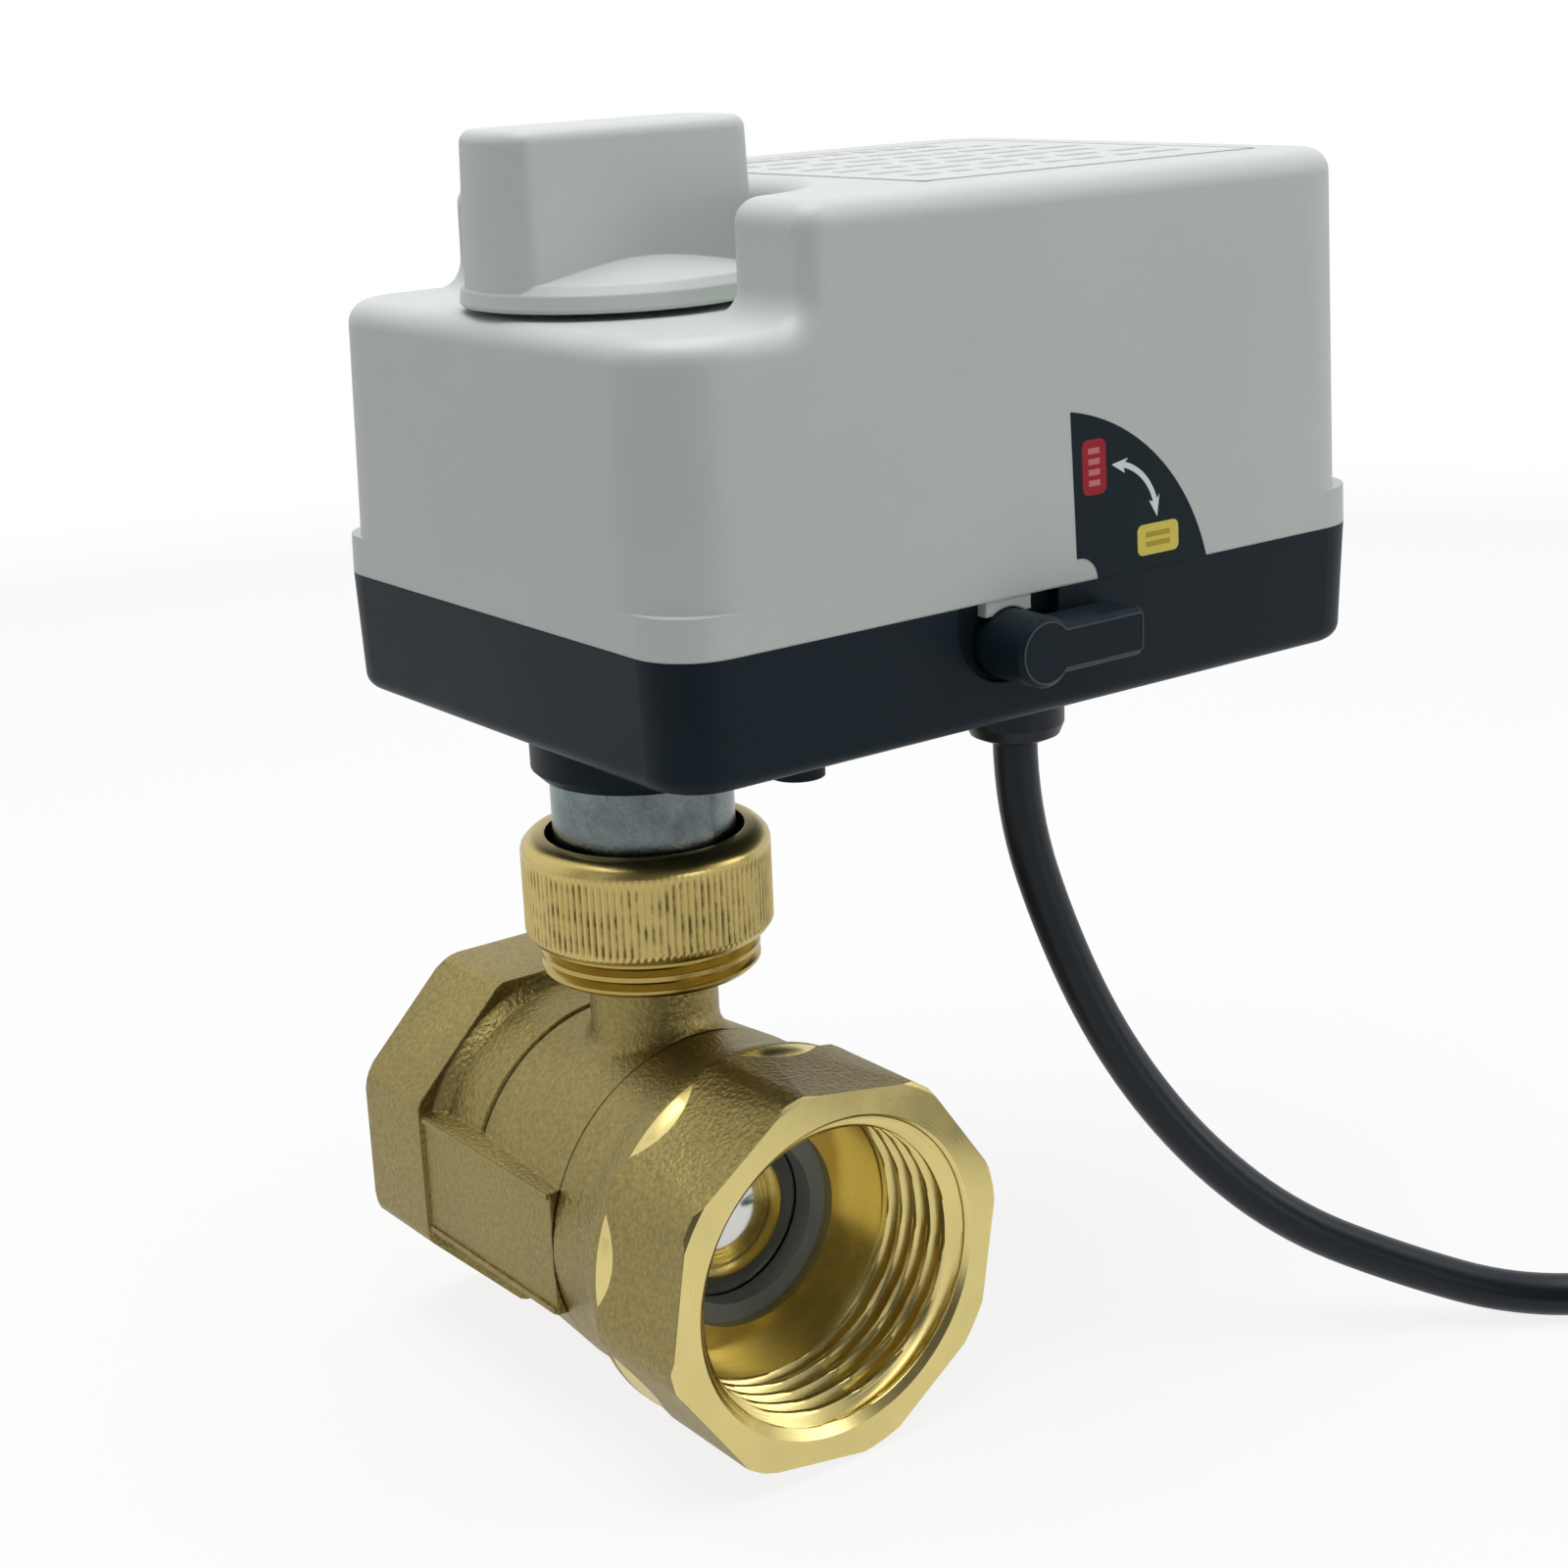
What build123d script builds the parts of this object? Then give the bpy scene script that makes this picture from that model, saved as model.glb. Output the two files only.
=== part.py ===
"""Motorized ball valve: a brass valve on a pipe, a knurled union nut and a geared actuator on top.

Frame: the pipe axis is Y, the inlet face is y = 0, the stem stands along +Z at y = STEM_Y.
Everything above the stem is drawn on planes whose own origin is on the stem axis.
"""
import os
from math import acos, cos, degrees, hypot, pi, radians, sin, tan

from build123d import *

os.makedirs("parts", exist_ok=True)

# Brass valve, along the pipe
BODY_LENGTH = 61.5
STEM_Y = BODY_LENGTH / 2
FLATS = 39.1
BACK_FLATS = 38.6
TURNED_R = 20.7
BACK_TURNED_R = 20.7
CAP_TURN = -9.8
BARREL_R = 17.7
CAP_R = 18.9
SEAM = -7.4
CAP_CONE = (-12.3, -16.4)
CAP_RING_R = 20.15
CAP_RING_END = -17.3
CAP_FACET = (1.0, 3.2)
BACK_OCTAGON = 18.7
BACK_SHOULDER = 17.2
BACK_GROOVE = 10.0
PAD_FACE = 18.9
PAD_HALF = 6.8

# Pipe thread, one inch parallel
THREAD_MINOR_R = 15.145
THREAD_MAJOR_R = 16.62
THREAD_PITCH = 2.309
THREAD_TURNS = 5
THREAD_START = 1.1
GROOVE_HALF = 0.83
MOUTH_R = 17.0
RIM_CHAMFER = 0.4
THROAT_R = 11.0

# Ball, seats and stem
BALL_R = 14.5
BALL_BORE_R = 9.0
CAVITY_R = 15.0
SEAT_OUTER_R = 12.9
SEAT_GAP = 0.15
SEAT_INNER = 11.0
SEAT_OUTER = 14.0
SHOULDER_OUTER = 15.2
SPIGOT_R = 16.9
SPIGOT_END = -10.0
FIT = 0.05
NECK_R = 6.8
ROOT_FILLET = 2.0
HEAD_R = 11.5
HEAD_BOTTOM = 25.2
HEAD_TOP = 34.0
HEAD_THREAD_PITCH = 1.5
STEM_R = 4.0
STEM_FLANGE_R = 5.8
STEM_FLANGE = (15.05, 16.4)
STEM_SQUARE = 6.0
STEM_SHAFT_TOP = 29.9
STEM_TOP = 34.6
TANG = (10.0, 4.6)
TANG_DEPTH = 3.2
SEAL_LEVELS = (20.2, 24.0)
SEAL_SECTION_R = 0.45

# Union nut and steel sleeve
NUT_R = 13.03
NUT_BOTTOM = 29.2
NUT_WEB = 36.6
NUT_TOP = 40.0
NUT_HOLE_R = 10.4
NUT_BORE_R = HEAD_R + 0.12
SLEEVE_R = 9.5
SLEEVE_BORE_R = 7.5
SLEEVE_FLANGE_R = 11.1
SLEEVE_FLANGE_TOP = 36.0
SLEEVE_LIP = (12.5, 1.6)
PIN_CIRCLE_R = 9.3
BUSH_FEET = (38.0, 49.0)
BUSH_LENGTH = 6.0
WASHER_THICK = 0.5
PIN_R = 0.9
PIN_DEPTH = 2.4

# Actuator housing, as seen from above the stem
BOX_X = (-16.7, 73.5)
BOX_Y = 32.2
BOX_CORNER_R = 6.3
COVER_CORNER_R = 9.0
BASE_BOTTOM = 52.6
BAND = 4.0
BASE_DRAFT = 1.9
COVER_DRAFT = 1.7
WALL = 2.4
FLOOR = 2.5
STEP_X = 0.2
RECESS_R = 18.3
TOP_FILLET = 2.4
STEP_FILLET = 2.8
COLLAR_R = 11.3
COLLAR_BOTTOM = 46.4
FLOOR_TOP = BASE_BOTTOM + FLOOR

STEP_CORNER = 4.0
BASE_FILLET = 1.8
FOOT_R = 2.7
FOOT_HEIGHT = 2.5
GASKET_INSET = 1.6
GASKET_DEPTH = 1.0
COVER_BOSS_DROP = 3.3
COVER_BOSS_R = 3.4
PLATE_POST_R = 3.0
AXLE_BOSS_R = 2.4
PILOT_DEPTH = 8.0
HEAD_ROOM = 0.3

# Screws: shank radius, head radius, head height
COVER_SCREW = (1.5, 2.8, 2.4)
SMALL_SCREW = (1.1, 2.1, 1.5)
SNUG = 0.02

# Drive shaft, knob and gear train
SHAFT_R = 6.0
SHAFT_TOP_R = 5.0
SHAFT_SHOULDER_R = 7.2
SHAFT_SEAL_R = 0.65
PLATE = (74.0, 75.5)
PLATE_X = (-12.5, 70.0)
PLATE_Y = 24.0
PLATE_WING_X = (6.0, 62.0)
PLATE_WING_Y = 28.2
KNOB_R = 14.9
KNOB_GAP = 0.7
KNOB_FOOT = 3.2
KNOB_HEIGHT = 16.6
SHAFT_REACH = 9.0
KNOB_GRIP = 12.6
KNOB_DRAFT = 2.0
KNOB_CORNER = 2.4
KNOB_EDGE = 1.3
AXLE_R = 1.5
OUTPUT_TEETH, SECOND_PINION_TEETH, OUTPUT_MODULE = 30, 12, 0.8
SECOND_TEETH, FIRST_PINION_TEETH, SECOND_MODULE = 30, 12, 0.6
FIRST_TEETH, MOTOR_TEETH, FIRST_MODULE = 40, 12, 0.5
SECOND_ANGLE, FIRST_ANGLE, MOTOR_ANGLE = 25.0, -30.0, 20.0
BACKLASH = 0.16
GEAR_HUBS = (3.4, 2.7)
GEAR_LEVELS = {
    "output": (58.2, 61.8),
    "second_pinion": (57.5, 62.4),
    "second_wheel": (62.6, 64.6),
    "first_pinion": (59.8, 64.9),
    "first_wheel": (65.0, 67.0),
    "motor_pinion": (64.9, 67.1),
}

# Motor and electrics
MOTOR_CENTRE = (46.0, -5.0)
MOTOR_R = 21.0
MOTOR_LENGTH = 21.1
MOTOR_HEAD = 6.5
MOTOR_ROOM = 5.4
EAR_ANGLE = 130.0
EAR_REACH = 24.5
EAR_R = 3.0
EAR_THICK = 1.5
MOTOR_RIM = 0.6
MOTOR_BOSS = (7.0, 1.2)
MOTOR_SPIGOT_R = 4.0
SWITCH = (13.0, 6.5, 6.3)
SWITCH_FACE = 10.6
SWITCH_BUTTON_R = 0.8
SWITCH_HOLES = [(-4.7, 4.55), (4.7, 4.55)]
SWITCH_ROOM = 3.2
BOARD_X = (24.0, 61.0)
BOARD_Y = 26.4
BOARD_THICK = 1.6
BOARD_LIFT = 1.4
CAPACITOR = (18.0, 7.5, 12.0)
TERMINALS = (16.0, 7.0, 8.5)
TERMINALS_CENTRE = (14.0, -23.6)
TERMINAL_PITCH = 5.0

# Manual lever
LEVER_X = 22.35
LEVER_LIFT = 5.8
LEVER_COVER = 4.5
LEVER_HUB_R = 3.5
LEVER_TIP = 12.9
LEVER_ARM_HALF = 2.4
LEVER_FRONT = 37.7
LEVER_BACK = 33.0
LEVER_TIP_R = 1.0
LEVER_BEVEL = 0.4
LEVER_HUB_BACK = 30.9
LEVER_SHAFT_R = 2.4
LEVER_SEAL_Y = 29.0
LEVER_GROOVE = 1.1
LEVER_BOSS_WALL = 1.0
LEVER_POCKET_R = 6.4
LEVER_POCKET_DROP = 1.9
LEVER_POCKET_DEPTH = 1.5
CRANK = 1.5
CRANK_PIN_R = 1.0
CRANK_WEB_R = 3.3
CRANK_WEB = (25.9, 24.5)
CRANK_PIN_END = 22.8
SLIDER_PLATE_Y = (24.3, 22.6)
SLIDER_PLATE_X = (20.5, 27.8)
SLIDER_PLATE_REACH = (4.1, 1.1)
SLIDER_SLOT = (3.1, 2.4)
SLIDER_ARM_Z = (57.8, 59.7)
SLIDER_ARM_HALF = 2.1
SLIDER_BOSS_R = 2.7
GUIDE = (24.6, -12.0)
SPRING_R = (2.6, 1.9)
TONGUE_HALF = 2.85
TONGUE_DROP = 1.5

# Heights of the actuator, each from what it stands on or clears
LEVER_Z = FLOOR_TOP + LEVER_LIFT
PARTING = LEVER_Z + LEVER_COVER
LEVER_POCKET_Z = PARTING - LEVER_POCKET_DROP
TONGUE_BOTTOM = PARTING - TONGUE_DROP
SLIDER_PLATE_Z = (LEVER_Z - SLIDER_PLATE_REACH[0], LEVER_Z + SLIDER_PLATE_REACH[1])
MOTOR_HEAD_TOP = PLATE[1] + MOTOR_HEAD
MOTOR_TOP = PLATE[1] + MOTOR_LENGTH
BOARD_TOP = MOTOR_TOP + BOARD_LIFT
CEILING = PLATE[1] + 2 * SWITCH[2] + SWITCH_ROOM
DECK = CEILING + WALL
ROOF = MOTOR_TOP + MOTOR_ROOM + WALL
COVER_BOSS_TOP = CEILING - COVER_BOSS_DROP
KNOB_BOTTOM = DECK + KNOB_GAP
KNOB_LEDGE = KNOB_BOTTOM + KNOB_FOOT
KNOB_TOP = KNOB_BOTTOM + KNOB_HEIGHT

# Cable
CABLE_R = 2.3
GLAND = (31.0, -22.9)
GLAND_R = 5.1
GLAND_NECK_R = 3.8
GLAND_BOTTOM = 48.0
GLAND_FLANGE_R = 4.8
GLAND_FLANGE_THICK = 1.1
JACKET_END = 58.5
CORE_R = 0.65
CORE_SPACING = 1.6
CORE_HEIGHT = 80.0
CORE_BEND_R = 3.0
CLAMP_R = 3.0
TIE_THICK = 0.35
TIE_WIDTH = 2.5
TIE_HEAD = (4.2, 2.8, 4.0)
TIE_SLACK = 0.3
TIE_ANGLE = 60.0
FLOOR_Z = -TURNED_R
CABLE_Z = FLOOR_Z + TIE_THICK + SNUG + CABLE_R
CABLE_ROUTE = [
    (31.0, -22.9, GLAND_BOTTOM),
    (31.0, -22.9, 40.0),
    (34.5, -25.5, 25.5),
    (39.2, -29.0, 12.6),
    (45.9, -33.9, 1.0),
    (54.3, -40.1, -8.2),
    (64.4, -47.6, -13.9),
    (74.0, -54.7, CABLE_Z),
    (84.0, -62.7, CABLE_Z),
    (93.2, -70.8, CABLE_Z),
]
COIL_OUTER_R = 27.2
COIL_PITCH = 5.3
HALF_TURNS = 4
COIL_END_R = 15.0
FERRULE = (0.95, 2.2, 0.6, 4.5)
FERRULE_Z = FLOOR_Z + FERRULE[0]
LEADS = {
    "brown_lead": [(0, 1.3), (3.5, 1.3), (6.5, 5.5), (6.5, 12.0), (3.0, 18.0)],
    "signal_lead": [(0, 0), (4.0, 0), (8.5, 4.0), (10.5, 10.5), (9.5, 17.5)],
    "blue_lead": [(0, -1.3), (4.5, -1.3), (10.0, 2.0), (13.0, 8.5), (13.0, 15.5)],
}
LEAD_HEIGHTS = [CABLE_Z, CABLE_Z, (CABLE_Z + FERRULE_Z) / 2, FERRULE_Z, FERRULE_Z]

GREY = Color(0.72, 0.74, 0.74)
BLACK = Color(0.09, 0.10, 0.11)
BRASS = Color(0.78, 0.64, 0.33)
STEEL = Color(0.72, 0.74, 0.76)
WHITE = Color(0.92, 0.92, 0.90)

STEM_AXIS = Axis((0, STEM_Y, 0), (0, 0, 1))
STEM_SIDE = Plane((0, STEM_Y, 0), x_dir=(1, 0, 0), z_dir=(0, -1, 0))


def level(z):
    """A horizontal plane at height z whose origin is on the stem axis."""
    return Plane((0, STEM_Y, z))


def side(y):
    """An upright plane facing the near side, at distance y from the stem axis."""
    return Plane((0, STEM_Y + y, 0), x_dir=(1, 0, 0), z_dir=(0, -1, 0))


def keep(piece, name, colour):
    """Label, colour and write one finished piece."""
    piece.part.label = name
    piece.part.color = colour
    export_step(piece.part, f"parts/{name}.step")


def turned(points, axis=Axis.Y, plane=Plane.XY, mode=Mode.ADD):
    """Revolve a closed outline given as (radius, height) points."""
    with BuildSketch(plane) as outline:
        with BuildLine():
            Polyline(*points, close=True)
        make_face()
    revolve(outline.sketch, axis=axis, mode=mode)


def pipe_points(points):
    """Outline points given from the stem, moved to the frame of the pipe."""
    return [(r, STEM_Y + y) for r, y in points]


def post(x, y, radius, bottom, top, mode=Mode.ADD):
    """An upright round pillar or hole at (x, y) from the stem axis."""
    with BuildSketch(level(bottom)) as disc:
        with Locations((x, y)):
            Circle(radius)
    extrude(disc.sketch, amount=top - bottom, mode=mode)


def span(across, upward, mode=Mode.ADD):
    """A rectangle in the open sketch, from its lowest to its highest value each way."""
    with Locations(((across[0] + across[1]) / 2, (upward[0] + upward[1]) / 2)):
        Rectangle(across[1] - across[0], upward[1] - upward[0], mode=mode)


def ring(outer, inner, bottom, top):
    """A plain ring about the stem axis."""
    with BuildSketch(level(bottom)) as disc:
        Circle(outer)
        Circle(inner, mode=Mode.SUBTRACT)
    extrude(disc.sketch, amount=top - bottom)


# Valve


def octagon_end(flats, turned_r, turn, face, inner, direction):
    """One octagonal end: a prism whose corners were turned down and chamfered at the face."""
    with BuildPart() as end:
        with BuildSketch(Plane.XZ.offset(-(STEM_Y + inner))):
            RegularPolygon(flats / 2, 8, major_radius=False, rotation=22.5 + turn)
        extrude(amount=-(face - inner))
        outline = [(0, face), (turned_r - RIM_CHAMFER, face), (turned_r, face - direction * RIM_CHAMFER)]
        outline += [(turned_r, inner), (0, inner)]
        turned(pipe_points(outline), mode=Mode.INTERSECT)
    return end.part


def port_cut(direction):
    """The mouth, tapped bore, throat and seat pocket of one end, cut from the outside in."""
    face = direction * STEM_Y
    mouth = MOUTH_R - THREAD_MINOR_R
    shoulder = direction * SHOULDER_OUTER
    seat = direction * SEAT_OUTER
    inner = direction * (SEAT_INNER - 0.5)
    outline = [(0, face + direction), (MOUTH_R + 1, face + direction), (MOUTH_R, face)]
    outline += [(THREAD_MINOR_R, face - direction * mouth), (THREAD_MINOR_R, shoulder), (THROAT_R, shoulder)]
    outline += [(THROAT_R, seat), (SEAT_OUTER_R + FIT, seat), (SEAT_OUTER_R + FIT, inner), (0, inner)]
    turned(pipe_points(outline), mode=Mode.SUBTRACT)
    for turn in range(THREAD_TURNS):
        centre = face - direction * (THREAD_START + THREAD_PITCH * (turn + 0.5))
        groove = [(THREAD_MINOR_R - 0.5, centre - GROOVE_HALF), (THREAD_MINOR_R, centre - GROOVE_HALF)]
        groove += [(THREAD_MAJOR_R, centre), (THREAD_MINOR_R, centre + GROOVE_HALF)]
        groove += [(THREAD_MINOR_R - 0.5, centre + GROOVE_HALF)]
        turned(pipe_points(groove), mode=Mode.SUBTRACT)


with BuildPart() as valve_body:
    barrel = [(0, SPIGOT_END), (CAP_R, SPIGOT_END), (CAP_R, SEAM), (BARREL_R, BACK_GROOVE - 0.3)]
    barrel += [(BARREL_R - 0.3, BACK_GROOVE), (BARREL_R + 0.15, BACK_GROOVE + 0.3)]
    barrel += [(BARREL_R + 0.15, BACK_SHOULDER), (BACK_FLATS / 2 - 0.4, BACK_OCTAGON), (0, BACK_OCTAGON)]
    turned(pipe_points(barrel))
    post(0, 0, NECK_R, 0, HEAD_BOTTOM)
    root = valve_body.edges().filter_by(
        lambda e: hypot(e.center().X, e.center().Y - STEM_Y) < NECK_R + 0.5 and 12 < e.center().Z < 20
    )
    fillet(root, ROOT_FILLET)
    add(octagon_end(BACK_FLATS, BACK_TURNED_R, 0, STEM_Y, BACK_OCTAGON, 1))
    with BuildSketch(Plane.YZ.offset(-PAD_FACE)):
        with Locations((STEM_Y + (SEAM + BACK_OCTAGON) / 2, 0)):
            Rectangle(BACK_OCTAGON - SEAM, 2 * PAD_HALF)
    extrude(amount=PAD_FACE / 2, taper=-4)
    overhang = [(SPIGOT_R, SEAM), (CAP_R + ROOT_FILLET, SEAM), (CAP_R + ROOT_FILLET, SPIGOT_END - 1)]
    overhang += [(SPIGOT_R, SPIGOT_END - 1)]
    turned(pipe_points(overhang), mode=Mode.SUBTRACT)
    head = [(0, HEAD_BOTTOM), (HEAD_R - 0.5, HEAD_BOTTOM), (HEAD_R, HEAD_BOTTOM + 0.5)]
    for turn in range(4):
        start = HEAD_BOTTOM + 0.8 + turn * HEAD_THREAD_PITCH
        head += [(HEAD_R, start), (HEAD_R - 0.7, start + 0.5), (HEAD_R, start + 1.0)]
    head += [(HEAD_R, HEAD_TOP), (0, HEAD_TOP)]
    turned(head, axis=STEM_AXIS, plane=STEM_SIDE)
    port_cut(1)
    cavity = [(0, SPIGOT_END - 1), (CAVITY_R, SPIGOT_END - 1), (CAVITY_R, SEAT_INNER), (0, SEAT_INNER)]
    turned(pipe_points(cavity), mode=Mode.SUBTRACT)
    post(0, 0, STEM_R + FIT, 10, HEAD_TOP, mode=Mode.SUBTRACT)
    post(0, 0, STEM_FLANGE_R + 0.7, 10, STEM_FLANGE[1] + 0.6, mode=Mode.SUBTRACT)
    post(0, 0, SLEEVE_BORE_R, STEM_SHAFT_TOP - 0.3, HEAD_TOP, mode=Mode.SUBTRACT)
    for pin_x in (-PIN_CIRCLE_R, PIN_CIRCLE_R):
        post(pin_x, 0, PIN_R + FIT, HEAD_TOP - PIN_DEPTH - 0.1, HEAD_TOP, mode=Mode.SUBTRACT)
keep(valve_body, "valve_body", BRASS)

with BuildPart() as end_cap:
    facet_end = CAP_RING_END - CAP_FACET[1]
    cap = [(0, SEAM), (CAP_R, SEAM), (CAP_R, CAP_CONE[0]), (CAP_RING_R, CAP_CONE[1])]
    cap += [(CAP_RING_R, CAP_RING_END), (CAP_RING_R - CAP_FACET[0], facet_end), (0, facet_end)]
    turned(pipe_points(cap))
    add(octagon_end(FLATS, TURNED_R, CAP_TURN, -STEM_Y, CAP_RING_END, -1))
    port_cut(-1)
    socket = [(0, SEAM + 1), (SPIGOT_R + FIT, SEAM + 1), (SPIGOT_R + FIT, -SEAT_INNER), (0, -SEAT_INNER)]
    turned(pipe_points(socket), mode=Mode.SUBTRACT)
keep(end_cap, "end_cap", BRASS)

with BuildPart() as body_seal:
    seal = [(CAVITY_R + 0.1, -SEAT_INNER), (SPIGOT_R - 0.1, -SEAT_INNER)]
    seal += [(SPIGOT_R - 0.1, SPIGOT_END), (CAVITY_R + 0.1, SPIGOT_END)]
    turned(pipe_points(seal))
keep(body_seal, "body_seal", WHITE)


def seat(name, direction):
    """A seat ring: flat against its pocket, with a hollow face round the ball."""
    with BuildPart() as piece:
        outline = [(BALL_BORE_R, direction * 8), (SEAT_OUTER_R, direction * 8)]
        outline += [(SEAT_OUTER_R, direction * SEAT_OUTER), (BALL_BORE_R, direction * SEAT_OUTER)]
        turned(pipe_points(outline))
        with Locations((0, STEM_Y, 0)):
            Sphere(BALL_R + SEAT_GAP, mode=Mode.SUBTRACT)
        turned(
            pipe_points([(0, 0), (20, 0), (20, direction * SEAT_INNER), (0, direction * SEAT_INNER)]),
            mode=Mode.SUBTRACT,
        )
    keep(piece, name, Color(0.30, 0.31, 0.32))


seat("inlet_seat", -1)
seat("outlet_seat", 1)

with BuildPart() as ball:
    with Locations((0, STEM_Y, 0)):
        Sphere(BALL_R)
    with BuildSketch(Plane.YZ.offset(-BALL_R)):
        with Locations((STEM_Y, 0)):
            Circle(BALL_BORE_R)
    extrude(amount=2 * BALL_R, mode=Mode.SUBTRACT)
    with BuildSketch(level(BALL_R - TANG_DEPTH + 0.2)):
        Rectangle(TANG[0] + 2, TANG[1] + 0.4)
    extrude(amount=TANG_DEPTH, mode=Mode.SUBTRACT)
keep(ball, "ball", STEEL)

with BuildPart() as stem:
    profile = [(0, STEM_FLANGE[0]), (STEM_FLANGE_R, STEM_FLANGE[0]), (STEM_FLANGE_R, STEM_FLANGE[1])]
    profile += [(STEM_R, STEM_FLANGE[1])]
    for seal_z in SEAL_LEVELS:
        groove_r = STEM_R - 2 * SEAL_SECTION_R
        profile += [(STEM_R, seal_z - 0.6), (groove_r, seal_z - 0.6)]
        profile += [(groove_r, seal_z + 0.6), (STEM_R, seal_z + 0.6)]
    profile += [(STEM_R, STEM_SHAFT_TOP), (0, STEM_SHAFT_TOP)]
    turned(profile, axis=STEM_AXIS, plane=STEM_SIDE)
    with BuildSketch(level(STEM_SHAFT_TOP)):
        RectangleRounded(STEM_SQUARE, STEM_SQUARE, 0.6)
    extrude(amount=STEM_TOP - STEM_SHAFT_TOP)
    with BuildSketch(level(STEM_FLANGE[0])):
        Rectangle(*TANG)
    extrude(amount=-(TANG_DEPTH - 0.2))
keep(stem, "stem", BRASS)

with BuildPart() as stem_seals:
    for seal_z in SEAL_LEVELS:
        with Locations((0, STEM_Y, seal_z)):
            Torus(STEM_R - SEAL_SECTION_R, SEAL_SECTION_R)
keep(stem_seals, "stem_seals", BLACK)

with BuildPart() as stem_washer:
    ring(STEM_FLANGE_R + 0.6, STEM_R + 0.1, STEM_FLANGE[1] + 0.05, STEM_FLANGE[1] + 0.6)
keep(stem_washer, "stem_washer", WHITE)

# Union nut and sleeve

with BuildPart() as union_nut:
    outline = [(NUT_BORE_R, NUT_BOTTOM), (NUT_R - 0.5, NUT_BOTTOM), (NUT_R, NUT_BOTTOM + 0.7)]
    outline += [(NUT_R, NUT_TOP - 1.6), (NUT_R - 0.5, NUT_TOP - 0.7), (NUT_R - 1.5, NUT_TOP)]
    outline += [(NUT_HOLE_R, NUT_TOP), (NUT_HOLE_R, NUT_WEB), (NUT_BORE_R, NUT_WEB)]
    turned(outline, axis=STEM_AXIS, plane=STEM_SIDE)
keep(union_nut, "union_nut", BRASS)

with BuildPart() as slip_washer:
    ring(HEAD_R - 0.1, SLEEVE_R + 3 * FIT, SLEEVE_FLANGE_TOP, SLEEVE_FLANGE_TOP + WASHER_THICK)
keep(slip_washer, "slip_washer", STEEL)

with BuildPart() as coupling_sleeve:
    ring(SLEEVE_FLANGE_R, SLEEVE_BORE_R, HEAD_TOP, SLEEVE_FLANGE_TOP)
    ring(SLEEVE_R, SLEEVE_BORE_R, HEAD_TOP, FLOOR_TOP + SLEEVE_LIP[1])
    ring(SLEEVE_LIP[0], SLEEVE_BORE_R, FLOOR_TOP, FLOOR_TOP + SLEEVE_LIP[1])
    for pin_x in (-PIN_CIRCLE_R, PIN_CIRCLE_R):
        post(pin_x, 0, PIN_R + FIT, HEAD_TOP, SLEEVE_FLANGE_TOP, mode=Mode.SUBTRACT)
keep(coupling_sleeve, "coupling_sleeve", STEEL)

with BuildPart() as locating_pins:
    for pin_x in (-PIN_CIRCLE_R, PIN_CIRCLE_R):
        post(pin_x, 0, PIN_R, HEAD_TOP - PIN_DEPTH, SLEEVE_FLANGE_TOP - 0.1)
keep(locating_pins, "locating_pins", STEEL)

with BuildPart() as shaft_bushes:
    for bottom in BUSH_FEET:
        ring(SLEEVE_BORE_R - SNUG, SHAFT_R + FIT, bottom, bottom + BUSH_LENGTH)
keep(shaft_bushes, "shaft_bushes", BRASS)

# Drive shaft, gears and cams


def involute(angle):
    """The polar angle that an involute has swept at this pressure angle."""
    return tan(angle) - angle


def gear_points(module, teeth, phase):
    """Points round an involute gear whose first tooth is centred at the angle phase."""
    pitch_r = module * teeth / 2
    base_r = pitch_r * cos(radians(20))
    root_r = pitch_r - 1.15 * module
    tip_r = pitch_r + 0.85 * module
    half_tooth = (pi * module / 2 - BACKLASH) / (2 * pitch_r)
    flank = [max(base_r, root_r), pitch_r - 0.35 * module, pitch_r, (pitch_r + tip_r) / 2, tip_r]
    flank = [r for r in flank if r >= base_r]
    spread = [half_tooth + involute(radians(20)) - involute(acos(min(1, base_r / r))) for r in flank]
    side_points = [(root_r, spread[0] + 0.01)] + list(zip(flank, spread))
    points = []
    for tooth in range(teeth):
        centre = phase + 2 * pi * tooth / teeth
        for r, half in side_points:
            points.append((r * cos(centre - half), r * sin(centre - half)))
        for r, half in reversed(side_points):
            points.append((r * cos(centre + half), r * sin(centre + half)))
    return points


def mesh_phase(line_angle, driver_phase, driver_teeth, teeth):
    """The phase that puts a gap of one gear on the tooth of the gear it meets."""
    return line_angle + pi + (line_angle - driver_phase) * driver_teeth / teeth + pi / teeth


def toothed(x, y, module, teeth, phase, span, bore):
    """One spur gear standing at (x, y) from the stem axis, with its bore."""
    with BuildSketch(Plane((x, STEM_Y + y, span[0]))) as face:
        with BuildLine():
            Polyline(*gear_points(module, teeth, phase), close=True)
        make_face()
        Circle(bore, mode=Mode.SUBTRACT)
    extrude(face.sketch, amount=span[1] - span[0])


def beyond(x, y, distance, angle):
    """The point at a distance and angle (radians) from (x, y)."""
    return x + distance * cos(angle), y + distance * sin(angle)


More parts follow.
